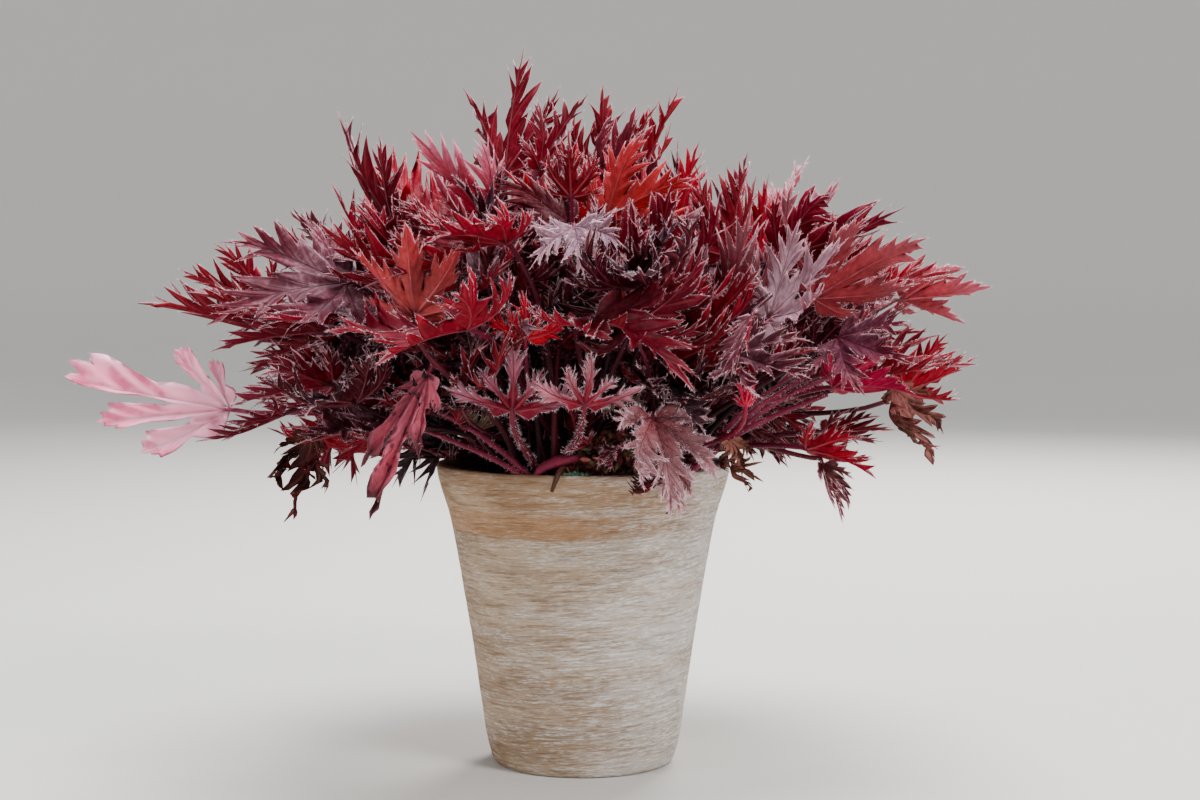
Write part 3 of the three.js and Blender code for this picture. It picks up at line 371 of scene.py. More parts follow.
def blade_points(leaf, lobe, radius, angle):
    """Where points of a lobe lie in the leaf's own axes. radius and angle are arrays alike."""
    swing = angle - lobe["angle"]
    across = np.abs(swing) / np.where(swing < 0, lobe["right"], lobe["left"])
    start = max(lobe["right_sinus"], lobe["left_sinus"])
    past = np.maximum(0, (radius - start) / (lobe["reach"] - start))
    turned = np.radians(angle - np.sign(lobe["angle"]) * leaf["sweep"] * past * past)
    wave = np.sin(RIPPLES_IN_A_RADIAN * np.radians(angle) + leaf["phase"])
    ripple = leaf["ripple"] * wave * (radius / leaf["size"])
    height = radius * (leaf["keel"] * across + ripple)
    height = height + lobe["bend"] * lobe["reach"] * past * past
    height = height + lobe["twist"] * radius * np.radians(swing) * past
    along = radius * np.cos(turned)
    aside = radius * np.sin(turned)
    cup_radius = CUP_WIDTH_SHARE * leaf["size"] / math.radians(leaf["cup"] or NEARLY_FLAT)
    y = (cup_radius - height) * np.sin(aside / cup_radius)
    lifted = cup_radius - (cup_radius - height) * np.cos(aside / cup_radius)
    droop_radius = leaf["size"] / math.radians(leaf["droop"] or NEARLY_FLAT)
    x = (droop_radius + lifted) * np.sin(along / droop_radius)
    z = (droop_radius + lifted) * np.cos(along / droop_radius) - droop_radius
    return np.stack([x, y, z], axis=-1)


def lobe_tips(leaf):
    """The points of the lobes in the plant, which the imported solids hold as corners."""
    heading, side, face = leaf_axes(leaf)
    tips = []
    for lobe in lobes_of(leaf):
        x, y, z = blade_points(leaf, lobe, np.float64(lobe["reach"]), np.float64(lobe["angle"]))
        tips.append(leaf["at"] + x * heading + y * side + z * face)
    return tips


# Which try of each leaf stands in the frame

MATCH_WITHIN = 0.05
TIPS_NEEDED = 3


def corners_of(node):
    mesh = frame["nodes"][node].data
    tree = KDTree(len(mesh.vertices))
    for i, vertex in enumerate(mesh.vertices):
        tree.insert(vertex.co / MM, i)
    tree.balance()
    return tree


def stands(leaf, corners):
    found = 0
    for missed, tip in enumerate(lobe_tips(leaf)):
        if corners.find(tip)[2] < MATCH_WITHIN:
            found += 1
        if found >= TIPS_NEEDED:
            return True
        if missed - found >= TIPS_NEEDED - 1:
            return False
    return False


def standing_leaf(grow, corners, tries):
    for attempt in range(tries):
        leaf = grow(attempt)
        if stands(leaf, corners):
            return leaf
    return None


def crowns():
    rows = [{"name": "crown_middle", "x": 0, "y": 0, "azimuth": 0, "width": 360,
             "elevations": MIDDLE_CROWN_ELEVATIONS}]
    for i in range(CROWNS_IN_RING):
        azimuth = CROWN_RING_START + 360 / CROWNS_IN_RING * i
        rows.append({
            "name": f"crown_{i + 1}",
            "x": CROWN_RING_RADIUS * math.cos(math.radians(azimuth)),
            "y": CROWN_RING_RADIUS * math.sin(math.radians(azimuth)),
            "azimuth": azimuth,
            "width": RING_CROWN_WIDTH,
            "elevations": RING_CROWN_ELEVATIONS,
        })
    for i, crown in enumerate(rows):
        crown.update(order=i, seed=CROWN_SEED_STEP * (i + 1))
    return rows


# Meshes

FAR = 9.0
UPPER, UNDER, STALK, HAIR = range(4)


def plain_object(name, points, faces):
    mesh = bpy.data.meshes.new(name)
    mesh.from_pydata(points * MM, [], faces)
    made = bpy.data.objects.new(name, mesh)
    bpy.context.scene.collection.objects.link(made)
    return made


class Gathered:
    """Triangles for one piece, with what its materials read: a tint with how silvery it is, partly painted
    sheen, and values of points.
    """

    def __init__(self):
        self.points, self.faces, self.slots, self.tints, self.silvers_and_painted_sheens = [], [], [], [], []
        self.places, self.edges, self.ribs, self.frosts = [], [], [], []
        self.count = 0

    def add(self, points, faces, slots, tints, veil=0.0, frost=0.0, place=None, edge=None, rib=None):
        n, m = len(points), len(faces)
        self.silvers_and_painted_sheens.append(np.broadcast_to(veil, m))
        self.frosts.append(np.broadcast_to(frost, m))
        self.points.append(points)
        self.faces.append(np.asarray(faces) + self.count)
        self.slots.append(np.broadcast_to(slots, m))
        self.tints.append(np.broadcast_to(tints, (m, 3, 3)))
        self.places.append(np.zeros((n, 2)) if place is None else place)
        self.edges.append(np.full(n, FAR) if edge is None else edge)
        self.ribs.append(np.full(n, FAR) if rib is None else rib)
        self.count += n

    def piece(self, name, materials, slot):
        faces = np.concatenate(self.faces)
        made = plain_object(name, np.concatenate(self.points), faces)
        mesh = made.data
        for material in materials:
            mesh.materials.append(material)
        mesh.polygons.foreach_set("material_index", np.concatenate(self.slots).astype(np.int32))
        mesh.shade_smooth()
        tints = np.ones((len(faces), 3, 4))
        tints[:, :, :3] = np.concatenate(self.tints)
        tints[:, :, 3] = np.concatenate(self.silvers_and_painted_sheens)[:, None]
        layer = mesh.color_attributes.new("tint", "FLOAT_COLOR", "CORNER")
        layer.data.foreach_set("color", tints.ravel())
        places = mesh.uv_layers.new(name="place")
        places.uv.foreach_set("vector", np.concatenate(self.places)[faces.ravel()].ravel())
        for key, values in (("edge", self.edges), ("rib", self.ribs)):
            mesh.attributes.new(key, "FLOAT", "POINT").data.foreach_set("value", np.concatenate(values))
        mesh.attributes.new("frost", "FLOAT", "FACE").data.foreach_set("value", np.concatenate(self.frosts))
        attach(made, "root")
        return made


def tube(centres, radii, sides):
    """Points and faces of a tube through centres, with a cap at each end."""
    centres = np.asarray(centres)
    tangents = np.gradient(centres, axis=0)
    tangents /= np.linalg.norm(tangents, axis=1)[:, None]
    out = unit(np.cross(tangents[0], (0.3, 0.5, 0.81)))
    turns = np.arange(sides) * 2 * math.pi / sides
    points = []
    for centre, tangent, radius in zip(centres, tangents, radii):
        out = unit(out - tangent * (out @ tangent))
        across = np.cross(tangent, out)
        points.append(centre + radius * (np.cos(turns)[:, None] * out + np.sin(turns)[:, None] * across))
    faces = []
    for i in range(1, len(centres)):
        low, high = (i - 1) * sides, i * sides
        for j in range(sides):
            k = (j + 1) % sides
            faces += [(low + j, low + k, high + k), (low + j, high + k, high + j)]
    end = (len(centres) - 1) * sides
    faces += [(end, end + j, end + j + 1) for j in range(1, sides - 1)]
    faces += [(0, j + 1, j) for j in range(1, sides - 1)]
    return np.concatenate(points), np.array(faces)


HAIR_SCATTER = 0.35
FUR_LENGTHS = (0.8, 2.0)
FUR_RISE = 0.45
RIB_RADII = (0.75, 0.12)
RIB_SIDES = 3
RIB_BELOW = 0.1


def hairs(bases, outward, lengths, widths, draw):
    """One fine three-cornered hair for each base."""
    lean = draw.normal(size=outward.shape) * HAIR_SCATTER
    way = outward / (np.linalg.norm(outward, axis=1)[:, None] + 1e-9) + lean
    way /= np.linalg.norm(way, axis=1)[:, None]
    aside = np.cross(way, draw.normal(size=way.shape))
    aside /= np.linalg.norm(aside, axis=1)[:, None] + 1e-9
    aside *= widths[:, None] / 2
    points = np.stack([bases - aside, bases + aside, bases + way * lengths[:, None]], axis=1)
    return points.reshape(-1, 3), np.arange(len(bases) * 3).reshape(-1, 3)


# Margins of half a lobe, from its sinus to its tip, for a leaf that is cut shallowly and for one cut deeply.
# Each row: shares of the reach, shares of the half angle, share of the midrib where its vein starts,
# place along the veins, how much it curls, steps to it
TOOTHED_MARGIN = [
    ((0.54, 0.52), (0.90, 0.86), 0.22, 1.0, 0.7, 2),
    ((0.53, 0.46), (0.76, 0.58), 0.32, 1.5, -0.2, 2),
    ((0.77, 0.79), (0.80, 0.86), 0.41, 2.0, 1.1, 3),
    ((0.67, 0.56), (0.44, 0.27), 0.50, 2.5, -0.1, 3),
    ((0.84, 0.87), (0.38, 0.46), 0.55, 3.0, 0.9, 3),
    ((0.79, 0.70), (0.24, 0.14), 0.65, 3.5, -0.1, 2),
    ((0.93, 0.95), (0.18, 0.22), 0.70, 4.0, 0.6, 2),
    ((0.90, 0.84), (0.10, 0.06), 0.81, 4.5, 0.0, 2),
    ((1.02, 1.03), (0.00, 0.00), 1.00, 5.0, 0.0, 2),
]
PLAIN_MARGIN = [
    ((0.52, 0.52), (0.74, 0.78), 0.24, 1.0, 1.0, 2),
    ((0.50, 0.42), (0.50, 0.36), 0.34, 1.5, -0.2, 2),
    ((0.74, 0.76), (0.44, 0.56), 0.44, 2.0, 1.0, 3),
    ((0.69, 0.60), (0.22, 0.15), 0.56, 2.5, -0.1, 2),
    ((0.88, 0.90), (0.20, 0.26), 0.62, 3.0, 0.7, 2),
    ((0.85, 0.78), (0.10, 0.06), 0.76, 3.5, 0.0, 2),
    ((1.02, 1.03), (0.00, 0.00), 1.00, 4.0, 0.0, 2),
]
BLUNT_MARGIN = [
    ((0.50, 0.50), (0.66, 0.66), 0.25, 1.0, 0.2, 3),
    ((0.80, 0.82), (0.78, 0.84), 0.48, 2.0, 0.4, 4),
    ((0.91, 0.93), (0.72, 0.80), 0.64, 2.6, 0.6, 2),
    ((0.90, 0.88), (0.46, 0.42), 0.72, 3.0, 0.0, 2),
    ((0.99, 1.00), (0.36, 0.40), 0.84, 3.6, 0.4, 2),
    ((0.96, 0.95), (0.16, 0.14), 0.90, 3.8, 0.0, 1),
    ((1.03, 1.03), (0.00, 0.00), 1.00, 4.0, 0.0, 2),
]
STRAP_MARGIN = [
    ((0.46, 0.46), (0.70, 0.70), 0.25, 1.0, 0.2, 3),
    ((0.74, 0.74), (0.80, 0.86), 0.46, 2.0, 0.3, 4),
    ((0.86, 0.87), (0.52, 0.56), 0.60, 2.6, 0.6, 2),
    ((0.90, 0.92), (0.50, 0.56), 0.66, 3.0, 0.9, 1),
    ((0.89, 0.88), (0.20, 0.16), 0.76, 3.5, 0.0, 1),
    ((1.02, 1.03), (0.00, 0.00), 1.00, 4.0, 0.0, 3),
]
ANTLER_MARGIN = [
    ((0.34, 0.34), (0.66, 0.60), 0.22, 1.0, 0.1, 2),
    ((0.52, 0.50), (0.36, 0.30), 0.34, 1.5, 0.1, 2),
    ((0.72, 0.74), (0.60, 0.66), 0.42, 2.0, 1.2, 3),
    ((0.66, 0.63), (0.28, 0.22), 0.50, 2.5, -0.1, 2),
    ((0.86, 0.88), (0.44, 0.50), 0.58, 3.0, 1.2, 3),
    ((0.80, 0.76), (0.18, 0.13), 0.68, 3.5, -0.1, 2),
    ((0.96, 0.98), (0.22, 0.26), 0.76, 4.0, 0.8, 2),
    ((0.92, 0.89), (0.08, 0.06), 0.86, 4.5, 0.0, 1),
    ((1.03, 1.04), (0.00, 0.00), 1.00, 5.0, 0.0, 2),
]
OWN_MARGINS = {"pink": BLUNT_MARGIN, "spotted": STRAP_MARGIN, "arms": ANTLER_MARGIN}
ROWS_TO_SINUS = 3
ACROSS = {
    "fine": np.array([0, 0.42, 0.78, 1.0]),
    "coarse": np.array([0, 0.5, 1.0]),
    "plain": np.array([0, 1.0]),
}
FEWER_STEPS = {"fine": 0, "coarse": 1, "plain": 2}
STEM_STEPS = {"fine": (14, 7), "coarse": (9, 5), "plain": (6, 3)}
BLADE_HALF = 0.2
MIDRIB_AT_SINUS = 0.18
WITHIN_HALF = 0.97
RISING_BULGE = 0.64
FALLING_BULGE = -0.2
RUFFLE_STEP = 1.3
PINK_OTHER_SIDE = 0.25
WELDS_IN_MM = 500


def half_lobe(lobe, side, draw, look):
    """Rows of a half lobe: reach at the midrib and at the margin, angle, place along the veins, and lift."""
    half = lobe["left"] if side > 0 else lobe["right"]
    sinus = lobe["left_sinus"] if side > 0 else lobe["right_sinus"]
    widest = min(half, lobe["widest"])
    rows = []
    for share in np.linspace(0, 1, ROWS_TO_SINUS + 1):
        rows.append((MIDRIB_AT_SINUS * share * lobe["reach"], sinus * share, half, share - 0.5, 0.0))

    curl = look["curl"] * lobe["reach"]
    before = (sinus / lobe["reach"], half, MIDRIB_AT_SINUS, 0.5, 0.0)
    margin = OWN_MARGINS.get(look["name"], TOOTHED_MARGIN if lobe["toothed"] else PLAIN_MARGIN)
    for reaches, angles, rib_share, place, weight, steps in margin:
        reach = lerp(*reaches, look["incised"])
        angle = lerp(*angles, look["incised"]) * widest * (1 + draw.uniform(-0.1, 0.1))
        if angle > 0:
            reach += draw.uniform(-0.025, 0.025)
        lift = weight * curl * draw.uniform(-0.8, 1.0)
        after = (reach, min(angle, half * WITHIN_HALF), rib_share, place, lift)
        rising = after[0] > before[0]
        bulge = RISING_BULGE if rising else FALLING_BULGE
        steps = max(1, steps - FEWER_STEPS[look["grade"]])
        for t in np.arange(1, steps + 1) / steps:
            r, a, m, p, _ = (lerp(x, y, t) for x, y in zip(before, after))
            a += bulge * t * (1 - t) * abs(after[1] - before[1])
            lift = lerp(before[4], after[4], t * t if rising else t)
            rows.append((m * lobe["reach"], r * lobe["reach"], a, p, lift))
        before = after
    rows = np.array(rows)
    past_sinus = np.arange(len(rows)) - ROWS_TO_SINUS
    ruffle = look["wave"] * lobe["reach"] * np.sin(RUFFLE_STEP * past_sinus + draw.uniform(0, 6.28))
    rows[:, 4] += np.where(past_sinus > 0, ruffle, 0)
    rows[-1, 4] = before[4]
    return rows


def ends_share(lobe, side, radius, across, look):
    """How far each point takes the colour of the lobes' ends."""
    start, full = look["ends"]
    share = np.clip((radius / lobe["reach"] - start) / (full - start), 0, 1)
    if look["name"] == "pink":
        share = share * across * (1.0 if side > 0 else PINK_OTHER_SIDE)
    return share


def blade_grid(leaf, look, draw):
    """The blade's middle surface: points in the leaf's axes, what they carry, faces, midribs and margins."""
    across = ACROSS[look["grade"]]
    columns = len(across)
    points, faces, values, midribs, margins = [], [], [], [], []
    count = 0
    for lobe in lobes_of(leaf):
        for side in (-1, 1):
            inner, outer, swings, place, lift = half_lobe(lobe, side, draw, look).T
            rows = len(inner)
            open_side = (lobe["first"] and side < 0) or (lobe["last"] and side > 0)
            margin_from = 0 if open_side else ROWS_TO_SINUS
            radius = inner[:, None] * (1 - across) + outer[:, None] * across
            angle = lobe["angle"] + side * swings[:, None] * across
            spots = blade_points(leaf, lobe, radius, angle)
            rib = np.linalg.norm(spots - spots[:, :1], axis=2)
            edge = np.linalg.norm(spots - spots[:, -1:], axis=2)
            edge[:margin_from] = FAR
            points.append(spots.reshape(-1, 3))
            values.append(np.stack([
                edge,
                rib,
                np.repeat(place, columns).reshape(rows, columns),
                np.tile(across, rows).reshape(rows, columns),
                lift[:, None] * across ** 2,
                ends_share(lobe, side, radius, across, look),
            ], axis=-1).reshape(-1, 6))
            index = count + np.arange(rows * columns).reshape(rows, columns)
            a, b = index[:-1, :-1].ravel(), index[1:, :-1].ravel()
            c, d = index[1:, 1:].ravel(), index[:-1, 1:].ravel()
            order = [(a, b, c), (a, c, d)] if side > 0 else [(a, c, b), (a, d, c)]
            faces += [np.stack(corners, axis=1) for corners in order]
            if side > 0:
                midribs.append(index[:, 0])
            margins.append((index[margin_from:, -1], index[margin_from:, -2]))
            count += rows * columns
    return np.concatenate(points), np.concatenate(values), np.concatenate(faces), midribs, margins


def welded(points, values, faces):
    """Joins points that meet, keeping the least of their distances to an edge, and drops empty faces."""
    keys = np.round(points * WELDS_IN_MM).astype(np.int64)
    _, first, where = np.unique(keys, axis=0, return_index=True, return_inverse=True)
    where = where.ravel()
    least = np.full(len(first), FAR)
    np.minimum.at(least, where, values[:, 0])
    values = values[first]
    values[:, 0] = least
    faces = where[faces]
    a, b, c = faces.T
    return points[first], values, faces[(a != b) & (b != c) & (c != a)], where


def normals_of(points, faces):
    a, b, c = (points[faces[:, corner]] for corner in range(3))
    across = np.cross(b - a, c - a)
    total = np.zeros_like(points)
    for corner in range(3):
        np.add.at(total, faces[:, corner], across)
    return total / (np.linalg.norm(total, axis=1)[:, None] + 1e-9)


CRUMPLES_IN_MM = 0.09
CRUMPLE_SHIFTS = ((9.3, -1.5, -8.0), (0, 0, 0), (6.3, 0.2, -2.7))


def crumpled(points, size, depth):
    """Points pushed about as in a leaf that has dried, the more the farther from its junction."""
    out = np.clip(points[:, 0] / size, 0, 1)[:, None]
    push = np.stack([
        [noise.noise(Vector(spot)) for spot in points * CRUMPLES_IN_MM + shift] for shift in CRUMPLE_SHIFTS
    ], axis=1)
    return points + push * out * depth


def blade(gathered, leaf, look, draw):
    """One leaf's blade: two skins that meet at the margin, raised ribs beneath and hairs all round."""
    points, values, faces, midribs, margins = blade_grid(leaf, look, draw)
    points, values, faces, where = welded(points, values, faces)
    edges, ribs, places, lifts, ends = np.split(values, [1, 2, 4, 5], axis=1)
    points = points + normals_of(points, faces) * lifts
    if look["crumple"]:
        points = crumpled(points, leaf["size"], look["crumple"])
    points = leaf["at"] + points @ np.array(leaf_axes(leaf))
    normals = normals_of(points, faces)

    half = BLADE_HALF * np.minimum(1, edges)
    thick = edges[:, 0] > 0
    under_index = np.arange(len(points))
    under_index[thick] = len(points) + np.arange(thick.sum())
    skin = np.concatenate([points + normals * half, (points - normals * half)[thick]])
    both = np.concatenate([faces, under_index[faces][:, ::-1]])
    share = ends[faces]
    upper = look["upper"] * (1 - share) + look["upper_ends"] * share
    share = ends[faces[:, ::-1]]
    under = look["under"] * (1 - share) + look["under_ends"] * share
    gathered.add(
        skin, both, np.repeat([UPPER, UNDER], len(faces)), np.concatenate([upper, under]),
        veil=np.repeat([look["veil"], 0], len(faces)), frost=look["frost"],
        place=np.concatenate([places, places[thick]]),
        edge=np.concatenate([edges, edges[thick]])[:, 0],
        rib=np.concatenate([ribs, ribs[thick]])[:, 0],
    )
    if look["grade"] == "plain":
        return
    for line in midribs:
        line = where[line][::2]
        spots = points[line] - normals[line] * (BLADE_HALF + RIB_BELOW)
        sizes = np.linspace(*RIB_RADII, len(line)) * look["ribs"]
        gathered.add(*tube(spots, sizes, RIB_SIDES), STALK, look["rib"])
    for rim, inward in margins:
        margin_hairs(gathered, points[where[rim]], points[where[inward]], look, draw)
    if look["fur"]:
        fur(gathered, leaf, points + normals * half, faces, normals, look, draw)


def fur(gathered, leaf, points, faces, normals, look, draw):
    """Fine hairs on the upper side that lie outward along the blade."""
    a, b, c = (points[faces[:, corner]] for corner in range(3))
    areas = np.linalg.norm(np.cross(b - a, c - a), axis=1) / 2
    number = int(areas.sum() * look["fur"])
    chosen = draw.choice(len(faces), size=number, p=areas / areas.sum())
    u, v = np.sort(draw.uniform(size=(2, number)), axis=0)[:, :, None]
    bases = a[chosen] * u + b[chosen] * (v - u) + c[chosen] * (1 - v)
    outward = bases - leaf["at"]
    outward /= np.linalg.norm(outward, axis=1)[:, None] + 1e-9
    size = draw.uniform(*FUR_LENGTHS, number)
    way = outward + FUR_RISE * normals[faces[chosen, 0]]
    gathered.add(*hairs(bases, way, size, size * 0.06 + 0.04, draw), HAIR, look["hair"])


def margin_hairs(gathered, rim, inward, look, draw):
    lengths = np.linalg.norm(np.diff(rim, axis=0), axis=1)
    if lengths.sum() < 1e-6:
        return
    number = int(lengths.sum() * look["hairs"])
    chosen = draw.choice(len(lengths), size=number, p=lengths / lengths.sum())
    t = draw.uniform(size=number)[:, None]
    outs = rim - inward
    bases = rim[chosen] * (1 - t) + rim[chosen + 1] * t
    outward = outs[chosen] * (1 - t) + outs[chosen + 1] * t
    size = draw.uniform(0.5, 1.0, number) * look["hair_length"]
    gathered.add(*hairs(bases, outward, size, size * 0.1 + 0.03, draw), HAIR, look["hair"])


DARKEST_PAINTED_STEM_SHADE = 0.12
STEM_TIP_RADII = (0.45, 0.95)
STEM_INTO_BLADE = 0.1
STEM_TIP_BELOW = 0.5
STEM_BELOW = 0.35


def stem_curve(leaf, steps):
    heading, _, face = leaf_axes(leaf)
    lean = math.radians(leaf["lean"])
    top = leaf["at"] - STEM_SET_BACK * heading
    arriving = heading * math.cos(lean) + face * math.sin(lean)
    stretch = np.linalg.norm(top - leaf["foot"])
    rise = unit(np.array(leaf["rise"], dtype=float))
    a, b = top, top - arriving * leaf["swoop"] * stretch
    c, d = leaf["foot"] + rise * leaf["spring"] * stretch, leaf["foot"]
    t = np.linspace(0, 1, steps + 1)[:, None]
    return a * (1 - t) ** 3 + 3 * b * t * (1 - t) ** 2 + 3 * c * t * t * (1 - t) + d * t ** 3


def stem(gathered, leaf, look, draw, steps, sides):
    curve = stem_curve(leaf, steps)
    heading, _, face = leaf_axes(leaf)
    radii = np.linspace(STEM_TOP_RADIUS, STEM_ROOT_RADIUS, steps + 1) * leaf["thickness"]
    into = leaf["at"] + heading * leaf["size"] * STEM_INTO_BLADE - face * STEM_TIP_BELOW
    at = leaf["at"] - face * STEM_BELOW
    centres = np.concatenate([[into, at], curve])
    radii = np.concatenate([STEM_TIP_RADII, radii])
    if "root" in leaf:
        centres = np.concatenate([centres, [leaf["root"]]])
        radii = np.append(radii, radii[-1])
    points, faces = tube(centres, radii, sides)
    # Painted shade: the stalk darkens towards its root, deep in the mound
    light = lerp(1, DARKEST_PAINTED_STEM_SHADE, np.sqrt(np.arange(len(points)) // sides / len(centres)))
    gathered.add(points, faces, STALK, light[faces][:, :, None] * look["stalk"])
    hairs_along(gathered, curve, STEM_TOP_RADIUS * leaf["thickness"], look, draw)


def hairs_along(gathered, curve, radius, look, draw):
    number = int(np.linalg.norm(np.diff(curve, axis=0), axis=1).sum() * look["stem_hairs"])
    place = draw.uniform(0, len(curve) - 1.01, number)
    low = place.astype(int)
    t = (place - low)[:, None]
    centre = curve[low] * (1 - t) + curve[low + 1] * t
    along = curve[low + 1] - curve[low]
    along /= np.linalg.norm(along, axis=1)[:, None]
    out = draw.normal(size=(number, 3))
    out -= along * (out * along).sum(axis=1)[:, None]
    out /= np.linalg.norm(out, axis=1)[:, None]
    size = draw.uniform(0.5, 1.0, number) * look["stem_hair_length"]
    gathered.add(*hairs(centre + out * radius * 0.9, out, size, size * 0.07 + 0.03, draw), HAIR, look["hair"])


# How a leaf is finished, and how some of the looks differ from that. Lengths in mm, hairs for each mm of
# margin or stem, fur in hairs for each square mm.
FINISH = {
    "grade": "fine",
    "ends": (0.4, 1.0),
    "curl": 0.14,
    "wave": 0.022,
    "crumple": 0,
    "ribs": 1.0,
    "hairs": 0.9,
    "hair_length": 1.9,
    "fur": 0,
    "stem_hairs": 0.8,
    "stem_hair_length": 1.5,
    "hair": srgb(246, 208, 218),
}
OWN_FINISH = {
    "orange": {"curl": 0.06, "ribs": 1.4},
    "clay": {"curl": 0.1, "ends": (0.5, 1.0), "hairs": 1.2},
    "silver": {"curl": 0.18, "hairs": 1.4, "fur": 0.3, "incised": 1.7, "hair": srgb(250, 236, 242)},
    "mauve": {"hair": srgb(246, 222, 230)},
    "magenta": {"curl": 0.06, "hairs": 0.4},
    "spotted": {"curl": 0.04, "ends": (0.74, 0.9), "hairs": 0.15},
    "pink": {"curl": 0.04, "wave": 0.01, "ends": (0.3, 1.0), "hairs": 0.3, "hair": srgb(252, 226, 234)},
    "rose": {"ends": (0.1, 0.7), "curl": 0.15, "wave": 0.03, "hairs": 2.4, "hair_length": 3.0,
             "stem_hairs": 1.6, "fur": 0.8},
    "arms": {"curl": 0.14, "wave": 0.03, "hairs": 1.8, "hair_length": 2.2, "ends": (0.3, 0.75), "fur": 0.3,
             "stem_hairs": 6.0, "stem_hair_length": 2.4, "hair": srgb(248, 226, 234)},
    "dried_dark": {"curl": 0.24, "wave": 0.05, "crumple": 9, "ribs": 1.3, "hairs": 0.15, "hair_length": 1.2},
    "dried_pale": {"curl": 0.24, "wave": 0.05, "crumple": 8, "ribs": 1.3, "hairs": 0.15, "hair_length": 1.2},
}
SHALLOW_LOOKS = ("orange", "clay", "magenta", "spotted", "pink")
# Painted shade by a leaf's layer in the mound, and painted light by its height
DARKEST_LAYER = 0.5
BRIGHTEST_LAYER = 0.95
DARKEST_PAINTED_SHADE = 0.4
ENDS_STRENGTH = 0.8
RIB_TONE = (220, 110, 128)
RIB_STRENGTH = 0.2
PAINTED_LIGHT_UP = [(150, 0.92), (210, 1.15), (270, 1.5)]


def look_of(name, draw, layer=1.0, height=200.0):
    """A leaf's colours with a little of its own, darker within the mound and brighter higher up as painted
    shade and light, and how it is finished.
    """
    *colours, veil, frost = LOOKS[name]
    upper, under, ends, stalk = (srgb(*colour) for colour in colours)
    depth = min(1, max(0, (layer - DARKEST_LAYER) / (BRIGHTEST_LAYER - DARKEST_LAYER)))
    # The leaf's own random tone, times painted shade deep in the mound and painted light higher up
    shade = draw.uniform(0.75, 1.3) * lerp(DARKEST_PAINTED_SHADE, 1, depth) * np.interp(height, *zip(*PAINTED_LIGHT_UP))
    blush = np.array([draw.uniform(0.92, 1.12), draw.uniform(0.85, 1.1), draw.uniform(0.88, 1.08)])
    look = dict(FINISH)
    look.update(
        name=name,
        upper=upper * shade * blush,
        under=under * shade * blush,
        upper_ends=lerp(upper, ends, ENDS_STRENGTH) * shade * blush,
        under_ends=lerp(under, ends, ENDS_STRENGTH) * shade * blush,
        stalk=stalk * draw.uniform(0.85, 1.15),
        veil=veil * draw.uniform(0.6, 1.2),
        frost=frost * draw.uniform(0.7, 1.1),
        incised=draw.uniform(0, 0.3) if name in SHALLOW_LOOKS else draw.uniform(0.7, 1.4),
    )
    look["rib"] = lerp(look["under"], srgb(*RIB_TONE), RIB_STRENGTH)
    look.update(OWN_FINISH.get(name, {}))
    return look


def whole_leaf(gathered, leaf, look, draw):
    blade(gathered, leaf, look, draw)
    steps, sides = STEM_STEPS[look["grade"]]
    stem(gathered, leaf, look, draw, steps, sides)


# Paler looks are taken over a span of heights that starts lower at the right, partly leaf colour and partly
# painted light from above and the right, and no pale ones stand low at the left

PAINTED_LIGHT_FROM = 205
PAINTED_LIGHT_SPAN = 100
PAINTED_LIGHT_SLOPE = 0.15
LEFT_OF = -50
PALE_FROM = 275


def chosen_look(leaf, draw):
    """Brighter leaves stand high in the mound, partly leaf colour and partly painted light, and the left
    keeps dark ones for longer.
    """
    top = leaf["at"] + 0.6 * leaf["size"] * leaf_axes(leaf)[0]
    high = min(1, max(0, (top[2] + PAINTED_LIGHT_SLOPE * top[0] - PAINTED_LIGHT_FROM) / PAINTED_LIGHT_SPAN))
    names = LOW_LOOKS if draw.uniform() > high else HIGH_LOOKS
    weights = np.array([weight for _, weight in names], dtype=float)
    name = names[draw.choice(len(names), p=weights / weights.sum())][0]
    return "plum" if name in PALE_LOOKS and top[0] < LEFT_OF and top[2] < PALE_FROM else name


# Smaller leaves between those of the frame, and plain ones within the mound, darkened by painted shade

INFILL_SEED = 4242
INFILL_LEAVES = 170
INFILL_PIECES = 3
INFILL_LAYERS = (0.5, 0.93)
INNER_LEAVES = 120
# Low layers, which give the inner leaves the deepest painted shade
INNER_LAYERS = (0.28, 0.62)
HOLLOWS = np.array([((-80, -230, 140), (42, -64, 188)), ((84, -230, 150), (142, -52, 194))])
RIM_ZONE = (62, 84)
CLEAR_OVER_RIM = 157
CLEAR_OF_SOIL = 6
OUTLINE_SHARE = 0.99
OVERLAP_SHARE = 0.9
STEM_CHECKS = 24


def clear_of_pot(points):
    radius = np.hypot(points[:, 0], points[:, 1])
    over_rim = (radius > RIM_ZONE[0]) & (radius < RIM_ZONE[1])
    return not np.any(over_rim & (points[:, 2] < CLEAR_OVER_RIM))


def in_hollow(points):
    """True if a point lies in a hollow at the front, where the photo shows none but darkness."""
    return any(np.any(np.all((points > low) & (points < high), axis=1)) for low, high in HOLLOWS)


